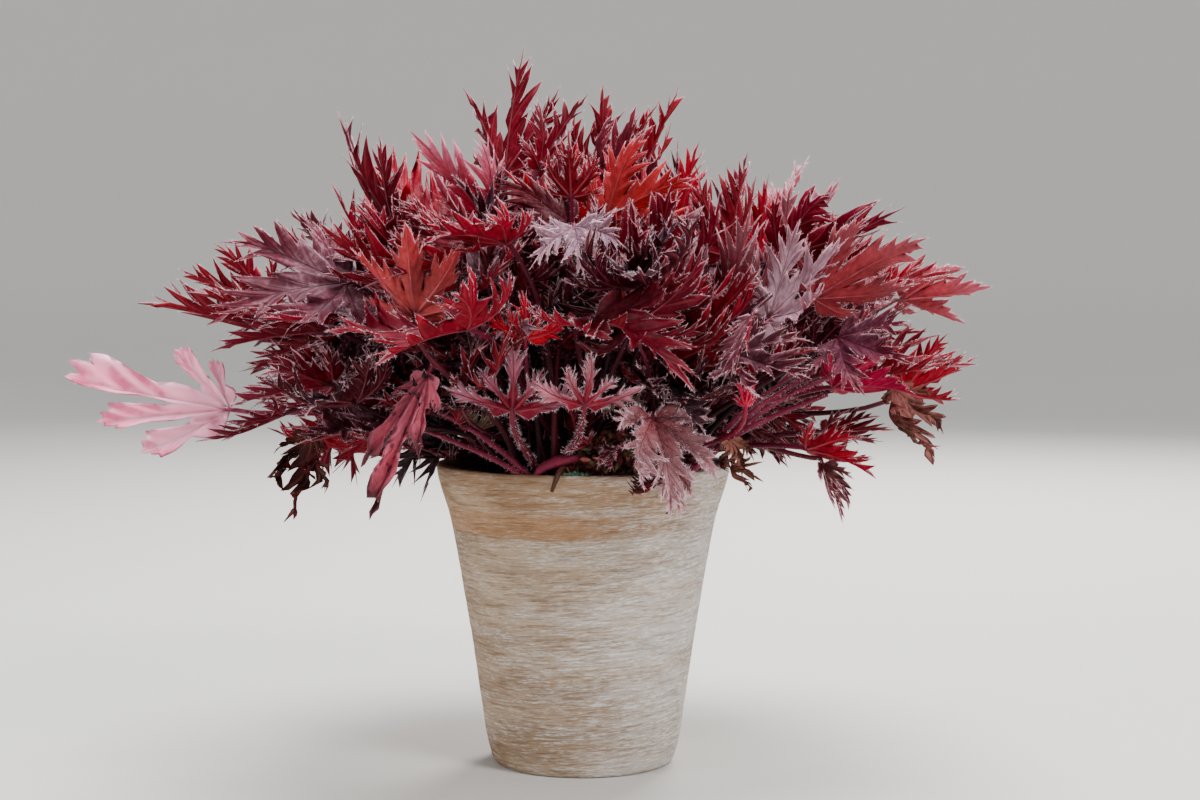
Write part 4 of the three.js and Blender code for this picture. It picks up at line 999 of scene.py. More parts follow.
def infill_leaf(draw, layers):
    height = lerp(-0.06, 0.985, draw.uniform() ** 1.2)
    elevation, azimuth = math.asin(height), draw.uniform(-math.pi, math.pi)
    layer = draw.uniform(*layers)
    reach = layer * np.interp(math.degrees(elevation), *zip(*MOUND_REACH))
    tip = direction(azimuth, elevation) * reach + np.array([0, 0, MOUND_HEART])
    outward = azimuth + draw.normal() * 0.5
    footing = draw.uniform(6, 54)
    leaf = drawn_shape(draws_from(draw.uniform))
    leaf.update(
        azimuth=math.degrees(azimuth) + draw.normal() * 50,
        elevation=math.degrees(elevation) + draw.uniform(-75, 25),
        roll=draw.uniform(-80, 80),
        size=draw.uniform(32, 58),
        cup=draw.uniform(30, 120),
        droop=draw.uniform(-20, 30),
        lobes=BROAD if draw.uniform() < 0.5 else LONG,
        spring=draw.uniform(0.22, 0.4),
        swoop=draw.uniform(0.2, 0.4),
        lean=draw.uniform(5, 40),
        toothed_from=0.7,
        cut=CUT_REACH,
        thickness=0.7,
        layer=layer,
    )
    stand_in_soil(leaf, outward, footing)
    leaf["at"] = tip - 0.9 * leaf["size"] * leaf_axes(leaf)[0]
    return leaf


def hides_a_single(leaf, singles):
    """True if the leaf stands before one of the single leaves that the front shows."""
    centre = leaf["at"] + 0.5 * leaf["size"] * leaf_axes(leaf)[0]
    for single in singles:
        middle = single["at"] + 0.5 * single["size"] * leaf_axes(single)[0]
        apart = math.hypot(centre[0] - middle[0], centre[2] - middle[2])
        if centre[1] < middle[1] < 0 and apart < 0.5 * (leaf["size"] + single["size"]) * OVERLAP_SHARE:
            return True
    return False


def fits_in_mound(leaf, singles):
    tips = np.array([leaf["at"], *lobe_tips(leaf)])
    away = tips - np.array([0, 0, MOUND_HEART])
    distance = np.linalg.norm(away, axis=1)
    elevation = np.degrees(np.arcsin(np.clip(away[:, 2] / distance, -1, 1)))
    if np.any(distance > OUTLINE_SHARE * np.interp(elevation, *zip(*MOUND_REACH))):
        return False
    inside = (np.hypot(tips[:, 0], tips[:, 1]) < RIM_ZONE[0]) & (tips[:, 2] < SOIL_TOP + CLEAR_OF_SOIL)
    if np.any(inside) or np.any(tips[:, 2] < SOIL_TOP - CLEAR_OF_SOIL):
        return False
    middle = (leaf["at"] + tips[1:]) / 2
    if in_hollow(np.concatenate([tips, middle])):
        return False
    clear = clear_of_pot(tips) and clear_of_pot(stem_curve(leaf, STEM_CHECKS)[:-2])
    return clear and not hides_a_single(leaf, singles)


def leaves_between(name, number, layers, singles, draw, **finish):
    """A piece of leaves that find room in the mound."""
    gathered = Gathered()
    placed = 0
    while placed < number:
        leaf = infill_leaf(draw, layers)
        if not fits_in_mound(leaf, singles):
            continue
        look = look_of(chosen_look(leaf, draw), draw, leaf["layer"], leaf["at"][2])
        look.update(finish)
        whole_leaf(gathered, leaf, look, draw)
        placed += 1
    gathered.piece(name, LEAF_MATERIALS, "burgundy_leaf")


def infill(singles):
    draw = np.random.default_rng(INFILL_SEED)
    for i in range(INFILL_PIECES):
        leaves_between(f"infill_leaves_{i + 1}", INFILL_LEAVES // INFILL_PIECES, INFILL_LAYERS, singles, draw,
                       grade="coarse", hairs=0.35)
    leaves_between("inner_leaves", INNER_LEAVES, INNER_LAYERS, singles, draw, grade="plain", stem_hairs=0.2)


# Materials

class Skin:
    """A new material, with short ways to add its nodes. Values are numbers or outputs of other nodes."""

    def __init__(self, name):
        self.material = bpy.data.materials.new(name)
        self.material.use_nodes = True
        self.tree = self.material.node_tree
        self.tree.nodes.clear()

    def add(self, kind, inputs=(), **settings):
        """Adds a node. Inputs are given by name or number, as values or as outputs to link."""
        made = self.tree.nodes.new(kind)
        for key, value in settings.items():
            setattr(made, key, value)
        for key, value in dict(inputs).items():
            socket = made.inputs[key]
            if isinstance(value, bpy.types.NodeSocket):
                self.tree.links.new(value, socket)
            elif socket.type == "RGBA":
                socket.default_value = (*value, 1.0)
            else:
                socket.default_value = value
        return made

    def maths(self, operation, *values):
        return self.add("ShaderNodeMath", dict(enumerate(values)), operation=operation).outputs[0]

    def times(self, a, b):
        return self.maths("MULTIPLY", a, b)

    def plus(self, a, b):
        return self.maths("ADD", a, b)

    def minus(self, a, b):
        return self.maths("SUBTRACT", a, b)

    def smooth(self, value, low, high):
        """0 where value is low, 1 where it is high, with a soft step between them."""
        made = self.add("ShaderNodeMapRange", {"Value": value, "From Min": low, "From Max": high},
                        interpolation_type="SMOOTHSTEP")
        return made.outputs["Result"]

    def between(self, value, low, high, at_low, at_high):
        """at_low where value is low, at_high where it is high, and straight between them."""
        made = self.add("ShaderNodeMapRange", {"Value": value, "From Min": low, "From Max": high,
                                               "To Min": at_low, "To Max": at_high})
        return made.outputs["Result"]

    def mix(self, share, a, b, blend="MIX"):
        made = self.add("ShaderNodeMix", {0: share, 6: a, 7: b}, data_type="RGBA", blend_type=blend)
        return made.outputs[2]

    def over(self, color, share, strength, tone):
        """A colour with a tone laid over it, at most as strong as strength where share is 1."""
        return self.mix(self.times(share, strength), color, srgb(*tone))

    def noise(self, where, scale, detail=3.0, roughness=0.55):
        made = self.add("ShaderNodeTexNoise",
                        {"Vector": where, "Scale": scale, "Detail": detail, "Roughness": roughness})
        return made.outputs["Fac"]

    def stretched_noise(self, where, scale, detail, roughness=0.55):
        stretched = self.add("ShaderNodeVectorMath", {0: where, 1: scale}, operation="MULTIPLY")
        return self.noise(stretched.outputs[0], 1.0, detail, roughness)

    def where(self):
        return self.add("ShaderNodeTexCoord").outputs["Object"]

    def axes(self, vector):
        return self.add("ShaderNodeSeparateXYZ", {0: vector}).outputs

    def attribute(self, name, output="Fac"):
        return self.add("ShaderNodeAttribute", attribute_name=name).outputs[output]

    def surface(self, color, roughness, height=None, bump=0.4, depth=0.0005, shine=0.2):
        inputs = {"Base Color": color, "Roughness": roughness}
        if height is not None:
            made = self.add("ShaderNodeBump", {"Strength": bump, "Distance": depth, "Height": height})
            inputs["Normal"] = made.outputs[0]
        principled = self.add("ShaderNodeBsdfPrincipled", inputs)
        principled.inputs["Specular IOR Level"].default_value = shine
        return principled.outputs[0]

    def finished(self, surface):
        self.add("ShaderNodeOutputMaterial", {"Surface": surface})
        return self.material


def leaf_material(name, under, kind="plain"):
    """A leaf's skin. Its kind is plain, dry, spotted or petal, which is pale and smooth."""
    skin = Skin(name)
    where = skin.where()
    tint = skin.attribute("tint", "Color")
    along, across = skin.axes(skin.add("ShaderNodeUVMap", uv_map="place").outputs[0])[:2]

    blotch = skin.noise(where, 45.0)
    fine = skin.noise(where, 420.0, 4.0)
    off_vein = skin.maths("ABSOLUTE", skin.minus(skin.maths("FRACT", skin.plus(along, 0.5)), 0.5))
    vein = skin.times(skin.smooth(off_vein, 0.13, 0.03), skin.smooth(across, 1.0, 0.6))
    middle = skin.smooth(skin.attribute("rib"), 1.3, 0.3)
    veins = skin.maths("MAXIMUM", skin.times(vein, 0.75), middle)

    if kind == "petal":
        light = skin.between(off_vein, 0.0, 0.5, 1.05, 0.9)
    else:
        light = skin.times(skin.between(blotch, 0.3, 0.7, 0.65, 1.3), skin.between(fine, 0.3, 0.7, 0.8, 1.2))
    color = skin.add("ShaderNodeVectorMath", {0: tint, 3: light}, operation="SCALE").outputs[0]
    if kind == "petal":
        flush = skin.times(skin.smooth(blotch, 0.4, 0.6), skin.smooth(off_vein, 0.05, 0.35))
        color = skin.over(color, flush, 0.8, (216, 84, 134))
        color = skin.over(color, middle, 0.6, (254, 226, 234))
    elif kind == "dry":
        burnt = skin.smooth(skin.noise(where, 70.0), 0.5, 0.65)
        color = skin.over(color, burnt, 0.8, (40, 24, 18))
        color = skin.over(color, veins, 0.4, (140, 96, 74))
    elif kind == "spotted":
        dark = skin.smooth(skin.noise(where, 150.0, 1.0), 0.6, 0.66)
        color = skin.over(color, veins, 0.25, (220, 110, 120))
        color = skin.over(color, dark, 0.7, (74, 30, 50))
    elif under:
        color = skin.over(color, veins, 0.3, (200, 84, 90))
        color = skin.over(color, skin.smooth(fine, 0.5, 0.8), 0.1, (200, 110, 120))
    else:
        # The upper side's silver: partly the leaf's own, partly painted sheen of the sky
        veil = skin.times(skin.smooth(fine, 0.35, 0.7), skin.smooth(blotch, 0.35, 0.65))
        veil = skin.times(veil, skin.minus(1.0, veins))
        color = skin.over(color, veil, skin.attribute("tint", "Alpha"), (198, 166, 174))
        color = skin.over(color, veins, 0.45, (60, 4, 20))
    rim = skin.smooth(skin.attribute("edge"), 0.75, 0.2)
    color = skin.over(color, rim, skin.attribute("frost"), (240, 188, 200))

    height = skin.plus(skin.times(veins, 1.0 if under else -1.0), skin.times(fine, 0.6))
    roughness = {"dry": 0.75, "petal": 0.6}.get(kind, 0.5 if under else 0.42)
    surface = skin.surface(color, roughness, height, bump=0.8 if kind == "dry" else 0.55, depth=0.0006,
                           shine=0.1 if under else 0.22)
    if kind != "dry":
        passing = (1.05, 0.8, 0.92) if kind == "petal" else (1.4, 0.5, 0.7)
        glow = skin.mix(1.0, color, passing, "MULTIPLY")
        through = skin.add("ShaderNodeBsdfTranslucent", {"Color": glow}).outputs[0]
        share = 0.15 if kind == "petal" else 0.28
        surface = skin.add("ShaderNodeMixShader", {0: share, 1: surface, 2: through}).outputs[0]
    return skin.finished(surface)


def stalk_material():
    skin = Skin("leaf_stalk")
    streak = skin.noise(skin.where(), 160.0, 3.0)
    tint = skin.attribute("tint", "Color")
    dark = skin.mix(0.45, tint, srgb(40, 2, 14))
    color = skin.mix(skin.smooth(streak, 0.3, 0.75), dark, tint)
    return skin.finished(skin.surface(color, 0.5, streak))


def hair_material():
    skin = Skin("leaf_hair")
    return skin.finished(skin.surface(skin.attribute("tint", "Color"), 0.55, shine=0.3))


def clay_material():
    """Fired clay under a thin brushed whitewash, with the marks of turning running round it. The whitewash is
    thicker towards the right as painted light, the raised lines get painted highlights and the grooves
    painted shade.
    """
    skin = Skin("whitewashed_clay")
    where = skin.where()
    x, y, z = skin.axes(where)[:3]
    tilted = skin.minus(z, skin.times(x, 0.05))
    brushed = skin.add("ShaderNodeCombineXYZ", {0: x, 1: y, 2: tilted}).outputs[0]
    patch = skin.stretched_noise(brushed, (14, 14, 80), 4.0, 0.7)
    lines = skin.stretched_noise(brushed, (60, 60, 760), 6.0, 0.75)
    dashes = skin.stretched_noise(brushed, (240, 240, 1500), 2.0, 0.6)
    tone = skin.stretched_noise(where, (14, 14, 60), 3.0)
    grain = skin.noise(where, 1100.0, 2.0)

    under_rim = skin.smooth(z, 0.122, 0.136)
    band = skin.times(skin.smooth(z, 0.1195, 0.1225), skin.smooth(z, 0.138, 0.131))
    band = skin.times(band, skin.smooth(x, 0.08, -0.02))
    warm = skin.maths("MAXIMUM", band, skin.times(under_rim, 0.5))
    clay = skin.mix(skin.smooth(tone, 0.35, 0.65), srgb(164, 136, 110), srgb(196, 170, 144))
    clay = skin.over(clay, warm, 0.65, (180, 128, 82))

    # The whitewash pattern, laid thicker towards the right side as painted light
    wash_pattern_and_painted_light = skin.plus(skin.plus(patch, skin.times(dashes, 0.6)), skin.times(x, 4.2))
    wash_and_painted_light = skin.smooth(skin.minus(wash_pattern_and_painted_light, skin.times(warm, 0.22)), 0.6, 1.14)
    color = skin.over(clay, wash_and_painted_light, 0.72, (236, 232, 230))
    # Whitewash caught on the raised lines, with a painted highlight
    ridge_wash_and_painted_highlight = skin.times(skin.smooth(lines, 0.5, 0.58), skin.smooth(dashes, 0.44, 0.54))
    ridge_wash_and_painted_highlight = skin.times(ridge_wash_and_painted_highlight, skin.plus(skin.times(wash_and_painted_light, 0.65), 0.35))
    ridge_wash_and_painted_highlight = skin.times(ridge_wash_and_painted_highlight, skin.minus(1.0, skin.times(warm, 0.4)))
    color = skin.over(color, ridge_wash_and_painted_highlight, 0.9, (248, 246, 242))
    # Bare clay in the grooves, darkened as painted shade
    groove_clay_and_painted_shade = skin.minus(skin.smooth(lines, 0.47, 0.4), skin.times(wash_and_painted_light, 0.3))
    color = skin.over(color, groove_clay_and_painted_shade, 0.55, (116, 88, 64))
    # Darker brown patches along the top of the rim on the left side
    dark_left_rim = skin.times(skin.smooth(z, 0.143, 0.151), skin.smooth(x, 0.03, -0.03))
    dark_left_rim = skin.times(dark_left_rim, skin.smooth(tone, 0.35, 0.6))
    color = skin.over(color, dark_left_rim, 0.5, (110, 86, 58))
    height = skin.plus(skin.plus(skin.times(lines, 1.4), skin.times(dashes, 0.5)), skin.times(grain, 0.2))
    return skin.finished(skin.surface(color, 0.85, height, bump=1.0, depth=0.0012, shine=0.25))


def soil_material():
    skin = Skin("potting_mix")
    where = skin.where()
    lump = skin.noise(where, 260.0, 5.0, 0.7)
    color = skin.mix(skin.smooth(lump, 0.35, 0.7), srgb(26, 18, 13), srgb(84, 60, 42))
    green = skin.smooth(skin.noise(where, 60.0, 2.0), 0.55, 0.7)
    color = skin.over(color, green, 0.35, (60, 70, 34))
    return skin.finished(skin.surface(color, 0.95, lump, bump=1.0, depth=0.002))


def floor_material():
    skin = Skin("pale_floor")
    return skin.finished(skin.surface(srgb(206, 204, 200), 0.9, shine=0.1))


def leaf_materials(kind):
    upper = leaf_material(f"{kind}_upper", False, kind)
    under = leaf_material(f"{kind}_under", True, kind)
    return [upper, under, STALK_SKIN, HAIR_SKIN]


STALK_SKIN = stalk_material()
HAIR_SKIN = hair_material()
LEAF_MATERIALS = leaf_materials("plain")
OWN_MATERIALS = {
    "pink": leaf_materials("petal"),
    "spotted": leaf_materials("spotted"),
    "dried_dark": leaf_materials("dry"),
}
OWN_MATERIALS["dried_pale"] = OWN_MATERIALS["dried_dark"]


# Pot

POT_SIDES = 128
ROW_STEP = 2.0
FLARE_HEIGHT = 115
WALL_TO_LIP = 36
FOOT_EDGE = [(0, 0), (30, 0), (43.8, 0), (45.3, 0.5)]
LIP = [(74.75, 151.4), (74.5, 152.2), (74.0, 152.75), (73.3, POT_HEIGHT), (70.6, POT_HEIGHT),
       (69.5, 152.7), (68.8, 152.1), (LIP_INNER_RADIUS, 151.2)]
CORNER_EASE = 5.0
EVEN_BELOW = 0.8
EVEN_ABOVE = 152.9
DRAIN_HOLE_SIDES = 24
DRAIN_HOLE_OVERRUN = 2


def pot_radius(z):
    return float(np.interp(z, *zip(*POT_OUTER)))


def soft_pot_radius(z):
    """The outside's radius with its corners eased."""
    reach = min(CORNER_EASE, max(0.4, 0.45 * z), POT_HEIGHT - z + 0.4)
    return float(np.mean([pot_radius(z + reach * t) for t in np.linspace(-1, 1, 9)]))


def lathe(profile, sides):
    """A closed turned body from a profile that starts and ends on the axis, with round rows between."""
    turns = np.arange(sides) * 2 * math.pi / sides
    rows = [np.array([[0.0, 0.0, profile[0][1]]])]
    for radius, z in profile[1:-1]:
        rows.append(np.stack([radius * np.cos(turns), radius * np.sin(turns), np.full(sides, z)], axis=1))
    rows.append(np.array([[0.0, 0.0, profile[-1][1]]]))
    points = np.concatenate(rows)
    faces = []
    after = np.roll(np.arange(sides), -1)
    here = np.arange(sides)
    faces.append(np.stack([np.zeros(sides, int), 1 + after, 1 + here], axis=1))
    for i in range(len(profile) - 3):
        low, high = 1 + i * sides, 1 + (i + 1) * sides
        faces.append(np.stack([low + here, low + after, high + after], axis=1))
        faces.append(np.stack([low + here, high + after, high + here], axis=1))
    last = 1 + (len(profile) - 3) * sides
    faces.append(np.stack([last + here, last + after, np.full(sides, len(points) - 1)], axis=1))
    return points, np.concatenate(faces)


def cut_out(body, cutters):
    """Cuts the cutters out of body and removes them."""
    for i, cutter in enumerate(cutters):
        modifier = body.modifiers.new(f"drain_{i}", "BOOLEAN")
        modifier.operation = "DIFFERENCE"
        modifier.object = cutter
        modifier.solver = "EXACT"
    bpy.context.view_layer.update()
    cut = bpy.data.meshes.new_from_object(body.evaluated_get(bpy.context.evaluated_depsgraph_get()))
    body.modifiers.clear()
    body.data = cut
    for cutter in cutters:
        bpy.data.objects.remove(cutter)


def drain_hole(order):
    """The plug that cuts one hole through the pot's floor."""
    low, high = -DRAIN_HOLE_OVERRUN, POT_FLOOR + DRAIN_HOLE_OVERRUN
    profile = [(0, low), (DRAIN_HOLE_RADIUS, low), (DRAIN_HOLE_RADIUS, high), (0, high)]
    points, faces = lathe(profile, DRAIN_HOLE_SIDES)
    angle = 2 * math.pi * order / DRAIN_HOLES
    points[:, 0] += DRAIN_HOLE_OFFSET * math.cos(angle)
    points[:, 1] += DRAIN_HOLE_OFFSET * math.sin(angle)
    return plain_object("cutter", points, faces)


def pot_piece():
    outer = [(soft_pot_radius(z), z) for z in np.arange(ROW_STEP, 150.9, ROW_STEP)]
    wall_radius = pot_radius(FLARE_HEIGHT) - POT_WALL
    inner = [(lerp(wall_radius, LIP_INNER_RADIUS, (z - FLARE_HEIGHT) / WALL_TO_LIP), z)
             for z in np.arange(149.5, 114, -2.5)]
    inner += [(pot_radius(z) - POT_WALL, z) for z in (100, 80, 66, 48, 30, POT_FLOOR + 3)]
    inner += [(pot_radius(POT_FLOOR) - POT_WALL - 2.5, POT_FLOOR)]
    profile = [*FOOT_EDGE, *outer, *LIP, *inner, (20, POT_FLOOR), (0, POT_FLOOR)]
    points, faces = lathe(profile, POT_SIDES)
    radius = np.hypot(points[:, 0], points[:, 1])
    for i, (x, y, z) in enumerate(points):
        if z < EVEN_BELOW or z > EVEN_ABOVE or radius[i] < 1:
            continue
        turning = noise.noise(Vector((x * 0.012, y * 0.012, z * 0.55)))
        uneven = noise.noise(Vector((x * 0.02, y * 0.02, z * 0.03 + 7)))
        points[i, :2] *= 1 + (0.16 * turning + 0.3 * uneven) / radius[i]
    gathered = Gathered()
    gathered.add(points, faces, 0, (1, 1, 1))
    pot = gathered.piece("clay_pot", [clay_material()], "fired_clay")
    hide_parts("pot")
    cut_out(pot, [drain_hole(order) for order in range(DRAIN_HOLES)])


# Soil

SOIL_GAP = 0.35
SOIL_TO_LIP = 36.8
SOIL_RINGS = 46
SOIL_SIDES = 144


def soil_piece():
    wall_radius = pot_radius(FLARE_HEIGHT) - POT_WALL
    top_radius = lerp(wall_radius, LIP_INNER_RADIUS, (SOIL_TOP - FLARE_HEIGHT) / SOIL_TO_LIP) - SOIL_GAP
    profile = [(0, POT_FLOOR + 0.3), (pot_radius(POT_FLOOR) - POT_WALL - 3, POT_FLOOR + 0.3)]
    profile += [(pot_radius(z) - POT_WALL - SOIL_GAP, z) for z in (POT_FLOOR + 4, 40, 66, 90, FLARE_HEIGHT)]
    profile += [(top_radius - 0.2, SOIL_TOP - 4)]
    for share in np.linspace(1, 1 / SOIL_RINGS, SOIL_RINGS):
        profile.append((top_radius * share, SOIL_TOP + SOIL_MOUND * (1 - share ** 2)))
    profile.append((0, SOIL_TOP + SOIL_MOUND))
    points, faces = lathe(profile, SOIL_SIDES)
    for i, (x, y, z) in enumerate(points):
        if z < SOIL_TOP - 0.1:
            continue
        inside = min(1, (top_radius - math.hypot(x, y)) / 4)
        lumps = 2.2 * noise.noise(Vector((x * 0.09, y * 0.09, 3)))
        lumps += 1.1 * noise.noise(Vector((x, y, 9)) * 0.32)
        points[i, 2] += inside * lumps
    gathered = Gathered()
    gathered.add(points, faces, 0, (1, 1, 1))
    soil = gathered.piece("soil_mix", [soil_material()], "potting_mix")
    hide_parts("soil")


# Crowns and single leaves

STOCK_PROFILE = [
    (0, SOIL_TOP - 12), (8, SOIL_TOP - 12), (8.2, SOIL_TOP), (7.6, 150), (7.2, 156), (6.6, 162),
    (4.6, CROWN_TOP - 1), (0, CROWN_TOP),
]
STOCK_SIDES = 14
SCALE_DEPTH = 0.14
SCALES_IN_MM = 1.1
SCALES_AROUND = 3


def crown_stock(gathered, crown):
    """The short scaly stock that a crown's stems spring from."""
    points, faces = lathe(STOCK_PROFILE, STOCK_SIDES)
    turn = np.arctan2(points[:, 1], points[:, 0])
    scales = 1 + SCALE_DEPTH * np.sin(SCALES_IN_MM * points[:, 2] + SCALES_AROUND * turn)
    points[:, :2] *= scales[:, None]
    points[:, :2] += crown["x"], crown["y"]
    gathered.add(points, faces, STALK, srgb(74, 34, 34))


def grow_crown(crown):
    corners = corners_of(crown["name"])
    gathered = Gathered()
    draw = np.random.default_rng(crown["seed"])
    crown_stock(gathered, crown)
    for order in range(LEAVES_ON_CROWN):
        leaf = standing_leaf(lambda attempt: crown_leaf(crown, order, attempt), corners, CROWN_TRIES)
        if leaf is None:
            continue
        look = look_of(chosen_look(leaf, draw), draw, leaf["layer"], leaf["at"][2])
        whole_leaf(gathered, leaf, look, draw)
    piece = gathered.piece(f"{crown['name']}_foliage", LEAF_MATERIALS, "burgundy_leaf")
    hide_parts(crown["name"])


def grow_single(row, order, slot):
    corners = corners_of(row[0])
    leaf = standing_leaf(lambda attempt: single_leaf(row, order, attempt), corners, TRIES)
    gathered = Gathered()
    draw = np.random.default_rng(SINGLE_LOOK_SEED + order)
    whole_leaf(gathered, leaf, look_of(leaf["look"], draw), draw)
    piece = gathered.piece(f"{row[0]}_fine", OWN_MATERIALS.get(leaf["look"], LEAF_MATERIALS), slot)
    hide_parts(row[0])
    return leaf


def grow_plant():
    for crown in crowns():
        grow_crown(crown)
    slots = {row["node"]: row["material_slot"] for row in frame["record"]["subparts"]}
    infill([grow_single(row, order, slots[row[0]]) for order, row in enumerate(SINGLES)])


# Small things by the front of the rim: lying stems, a swollen foot, a stub, old leaves, moss and litter

# A stem that lies along: its way, its radii at the ends and in the middle
LYING_STEMS = [
    ([(-84, -42, 190), (-72, -52, 184), (-52, -62, 174), (-36, -65, 162), (-24, -62, 150)],
     (1.3, 1.4, 1.6)),
    ([(-86, -46, 176), (-72, -54, 172), (-50, -64, 164), (-34, -65, 156), (-25, -62, 148)],
     (1.2, 1.3, 1.5)),
    ([(-24, -65, 150), (-20, -69, 157), (-12, -69, 160), (-4, -66, 161), (2, -62, 160)],
     (1.4, 3.0, 1.1)),
    ([(46, -48, 147), (60, -58, 161), (76, -66, 174), (96, -72, 184), (117, -70, 192)],
     (1.6, 1.4, 1.2)),
    ([(46, -48, 147), (69, -60, 169), (81, -68, 184), (96, -72, 194), (111, -70, 204)],
     (1.5, 1.3, 1.1)),
    ([(46, -48, 147), (67, -60, 166), (88, -70, 186), (102, -74, 194), (119, -72, 201)],
     (1.5, 1.3, 1.1)),
    ([(46, -48, 147), (65, -58, 170), (76, -64, 182), (86, -68, 191), (106, -66, 205)],
     (1.4, 1.2, 1.0)),
]
STUB = ([(-9, -66, 157), (-11.5, -74, 155.5), (-13.2, -77.5, 151), (-15, -78, 146)], (1.3, 1.4, 0.9))

# Small leaves: name, junction, azimuth, elevation, roll, size, cup, droop, lobes, look, foot, slot
SMALL_LEAVES = [
    ("old_leaf_middle", (18, -64, 188), 275, -8, 6, 21, 50, 20, BROAD, "olive", (14, -46), "dark_leaf"),
    ("old_leaf_right", (36, -66, 198), 300, -20, -10, 19, 60, 20, BROAD, "olive", (26, -44), "dark_leaf"),
    ("old_leaf_left", (-52, -52, 174), 262, 24, 0, 22, 60, 0, BROAD, "olive", (-36, -40), "dark_leaf"),
    ("rim_curl_pale", (43, -82, 158), 288, -72, 10, 24, 80, -16, LONG, "rose", (40, -56), "rose_leaf"),
    ("rim_curl_dark", (37, -80, 156), 216, -50, 0, 21, 110, -50, NARROW, "dried_dark", (34, -54),
     "dried_leaf"),
    ("rim_curl_brown", (70, -68, 170), 300, -65, 20, 27, 110, -40, NARROW, "dried_pale", (50, -44),
     "dried_leaf"),
    ("fallen_leaf_one", (16, -70, 166), 250, -30, 20, 15, 80, 20, BROAD, "brick", (12, -50), "dark_leaf"),
    ("fallen_leaf_two", (28, -70, 160), 300, -20, -30, 14, 90, 30, BROAD, "crimson", (20, -50),
     "crimson_leaf"),
    ("fallen_leaf_three", (2, -66, 168), 230, -10, 30, 15, 80, 20, BROAD, "plum", (2, -50), "dark_leaf"),
]

LYING_STEMS_SEED = 31
LITTER_SEED = 77
SMALL_LEAF_SEED = 900
LITTER_PIECES = 1300
LITTER_BOX = ((-12, 42), (-69, -50))
LITTER_LOWEST = 149
HEAP_EDGE = 153
HEAP_HEIGHT = 22
HEAP_MIDDLE = 16
HEAP_WIDTH = 20
LITTER_COLOURS = [(96, 40, 42), (116, 28, 38), (104, 76, 58), (82, 84, 56), (132, 72, 64), (70, 46, 42)]
MOSS_AT = (-4, -71.5, 153.2)
MOSS_BLADES = 260


def eased(points, steps):
    """A smooth way through points."""
    points = np.array(points, dtype=float)
    knots = np.arange(len(points))
    fine = np.linspace(0, len(points) - 1, steps)
    way = np.stack([np.interp(fine, knots, points[:, axis]) for axis in range(3)], axis=1)
    for _ in range(3):
        way[1:-1] = (way[:-2] + 2 * way[1:-1] + way[2:]) / 4
    return way


def lying_stem(gathered, way, radii, steps, sides, colour):
    curve = eased(way, steps)
    sizes = np.interp(np.linspace(0, 2, len(curve)), range(3), radii)
    gathered.add(*tube(curve, sizes, sides), STALK, colour)
    return curve


def lying_stems():
    gathered = Gathered()
    draw = np.random.default_rng(LYING_STEMS_SEED)
    look = look_of("arms", draw)
    look.update(stem_hairs=5.0, stem_hair_length=1.8)
    for way, radii in LYING_STEMS:
        curve = lying_stem(gathered, way, radii, 22, 9, srgb(122, 30, 58))
        hairs_along(gathered, curve, min(radii), look, draw)
    lying_stem(gathered, *STUB, 12, 8, srgb(74, 48, 36))
    gathered.piece("lying_stems", LEAF_MATERIALS, "burgundy_leaf")


def small_leaves():
    for order, row in enumerate(SMALL_LEAVES):
        name, at, azimuth, elevation, roll, size, cup, droop, lobes, look, foot, slot = row
        draw = np.random.default_rng(SMALL_LEAF_SEED + order)
        leaf = drawn_shape(draws_from(draw.uniform))
        leaf.update(
            at=np.array(at, dtype=float), azimuth=azimuth, elevation=elevation, roll=roll, size=size, cup=cup,
            droop=droop, lobes=lobes, spring=0.3, swoop=0.3, lean=50, toothed_from=0.5, cut=CUT_REACH,
            thickness=0.8,
        )
        stand_in_soil(leaf, 0, 0, foot)
        leaf["rise"] = (0, 0, 1)
        gathered = Gathered()
        whole_leaf(gathered, leaf, look_of(look, draw), draw)
        gathered.piece(name, OWN_MATERIALS.get(look, LEAF_MATERIALS), slot)


def litter():
    """Bits of old leaf heaped on the soil at the front, and a tuft of moss on the rim."""
    draw = np.random.default_rng(LITTER_SEED)
    gathered = Gathered()
    for _ in range(LITTER_PIECES):
        x, y = [draw.uniform(*span) for span in LITTER_BOX]
        top = HEAP_EDGE + HEAP_HEIGHT * math.exp(-((x - HEAP_MIDDLE) / HEAP_WIDTH) ** 2)
        centre = np.array([x, y, draw.uniform(LITTER_LOWEST, top)])
        long_way, side_way = draw.normal(size=(2, 3))
        long_way = unit(long_way) * draw.uniform(1.2, 3.6)
        side_way = unit(np.cross(long_way, side_way)) * draw.uniform(0.7, 1.8)
        bend = unit(np.cross(long_way, side_way)) * draw.uniform(-1.2, 1.2)
        points = np.array([centre - long_way, centre - side_way + bend, centre + long_way,
                           centre + side_way + bend, centre - bend * 0.2])
        faces = [(0, 1, 4), (1, 2, 4), (2, 3, 4), (3, 0, 4)]
        colour = srgb(*LITTER_COLOURS[draw.integers(len(LITTER_COLOURS))])
        gathered.add(points, faces, STALK, colour * draw.uniform(0.7, 1.8))
    around = draw.normal(size=(MOSS_BLADES, 3)) * (2.8, 0.7, 0.5)
    size = draw.uniform(0.7, 1.6, MOSS_BLADES)
    way = draw.normal(size=(MOSS_BLADES, 3)) * 0.6 + (0, -0.3, 1)
    gathered.add(*hairs(MOSS_AT + around, way, size, size * 0.5, draw), HAIR, srgb(84, 128, 106))
    gathered.piece("litter", LEAF_MATERIALS, "dried_leaf")


# Studio

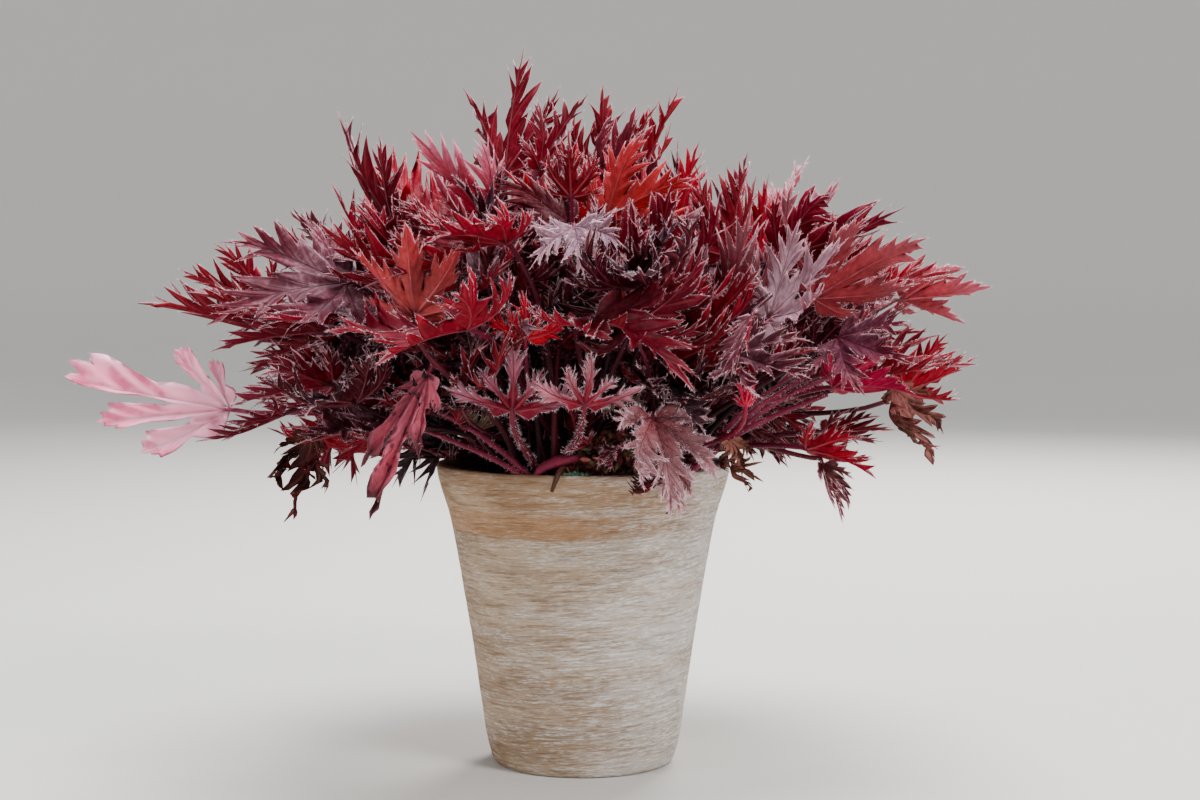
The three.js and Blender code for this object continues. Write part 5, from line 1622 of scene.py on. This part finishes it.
FLOOR_PROFILE = [(0, 0), (2400, 0), (2900, 80), (3200, 350), (3300, 800), (3300, 3000), (0, 3000)]
FLOOR_SIDES = 96
SKY_COLOUR = (0.86, 0.92, 1.0, 1)
SKY_STRENGTH = 0.23

# Lamps: name, place and aim in metres, width, watts, colour
LAMPS = [
    ("sky", (0.1, 0.1, 2.0), (0, 0, 0.2), 1.4, 76, (0.95, 0.98, 1)),
    ("key", (1.0, -1.2, 1.5), (0, 0, 0.2), 0.6, 32, (1, 0.98, 0.96)),
    ("back", (0.5, 1.4, 1.1), (0, 0, 0.25), 0.7, 38, (1, 0.97, 0.95)),
    ("fill", (-1.4, -0.9, 0.9), (0, 0, 0.2), 1.0, 11, (0.94, 0.97, 1)),
]

CAMERA_AT = (0, -1.186, 0.268)
CAMERA_DIP = 4.03
CAMERA_TURN = -0.416
CAMERA_LENS = 70.2
CAMERA_SENSOR = 36
CAMERA_NEAREST = 0.05


def studio_floor():
    """A pale floor that curves up far behind the plant. Its profile's last row, the ceiling, is left off."""
    points, faces = lathe(FLOOR_PROFILE, FLOOR_SIDES)
    floor = plain_object("floor", points, faces[:-FLOOR_SIDES, ::-1])
    floor.data.shade_smooth()
    floor.data.materials.append(floor_material())


def sky():
    world = bpy.data.worlds.new("sky")
    world.use_nodes = True
    background = world.node_tree.nodes["Background"]
    background.inputs["Color"].default_value = SKY_COLOUR
    background.inputs["Strength"].default_value = SKY_STRENGTH
    bpy.context.scene.world = world


def lamp(name, place, aim, size, watts, color):
    light = bpy.data.lights.new(name, "AREA")
    light.shape = "DISK"
    light.size = size
    light.energy = watts
    light.color = color
    holder = bpy.data.objects.new(name, light)
    holder.location = place
    holder.rotation_euler = (Vector(aim) - Vector(place)).to_track_quat("-Z", "Y").to_euler()
    bpy.context.scene.collection.objects.link(holder)


def studio():
    studio_floor()
    sky()
    for row in LAMPS:
        lamp(*row)


def camera():
    lens = bpy.data.cameras.new("camera")
    lens.sensor_width = CAMERA_SENSOR
    lens.lens = CAMERA_LENS
    lens.clip_start = CAMERA_NEAREST
    eye = bpy.data.objects.new("camera", lens)
    eye.location = CAMERA_AT
    eye.rotation_euler = (math.radians(90 - CAMERA_DIP), 0, math.radians(CAMERA_TURN))
    bpy.context.scene.collection.objects.link(eye)
    bpy.context.scene.camera = eye


pot_piece()
soil_piece()
grow_plant()
lying_stems()
small_leaves()
litter()
studio()
camera()
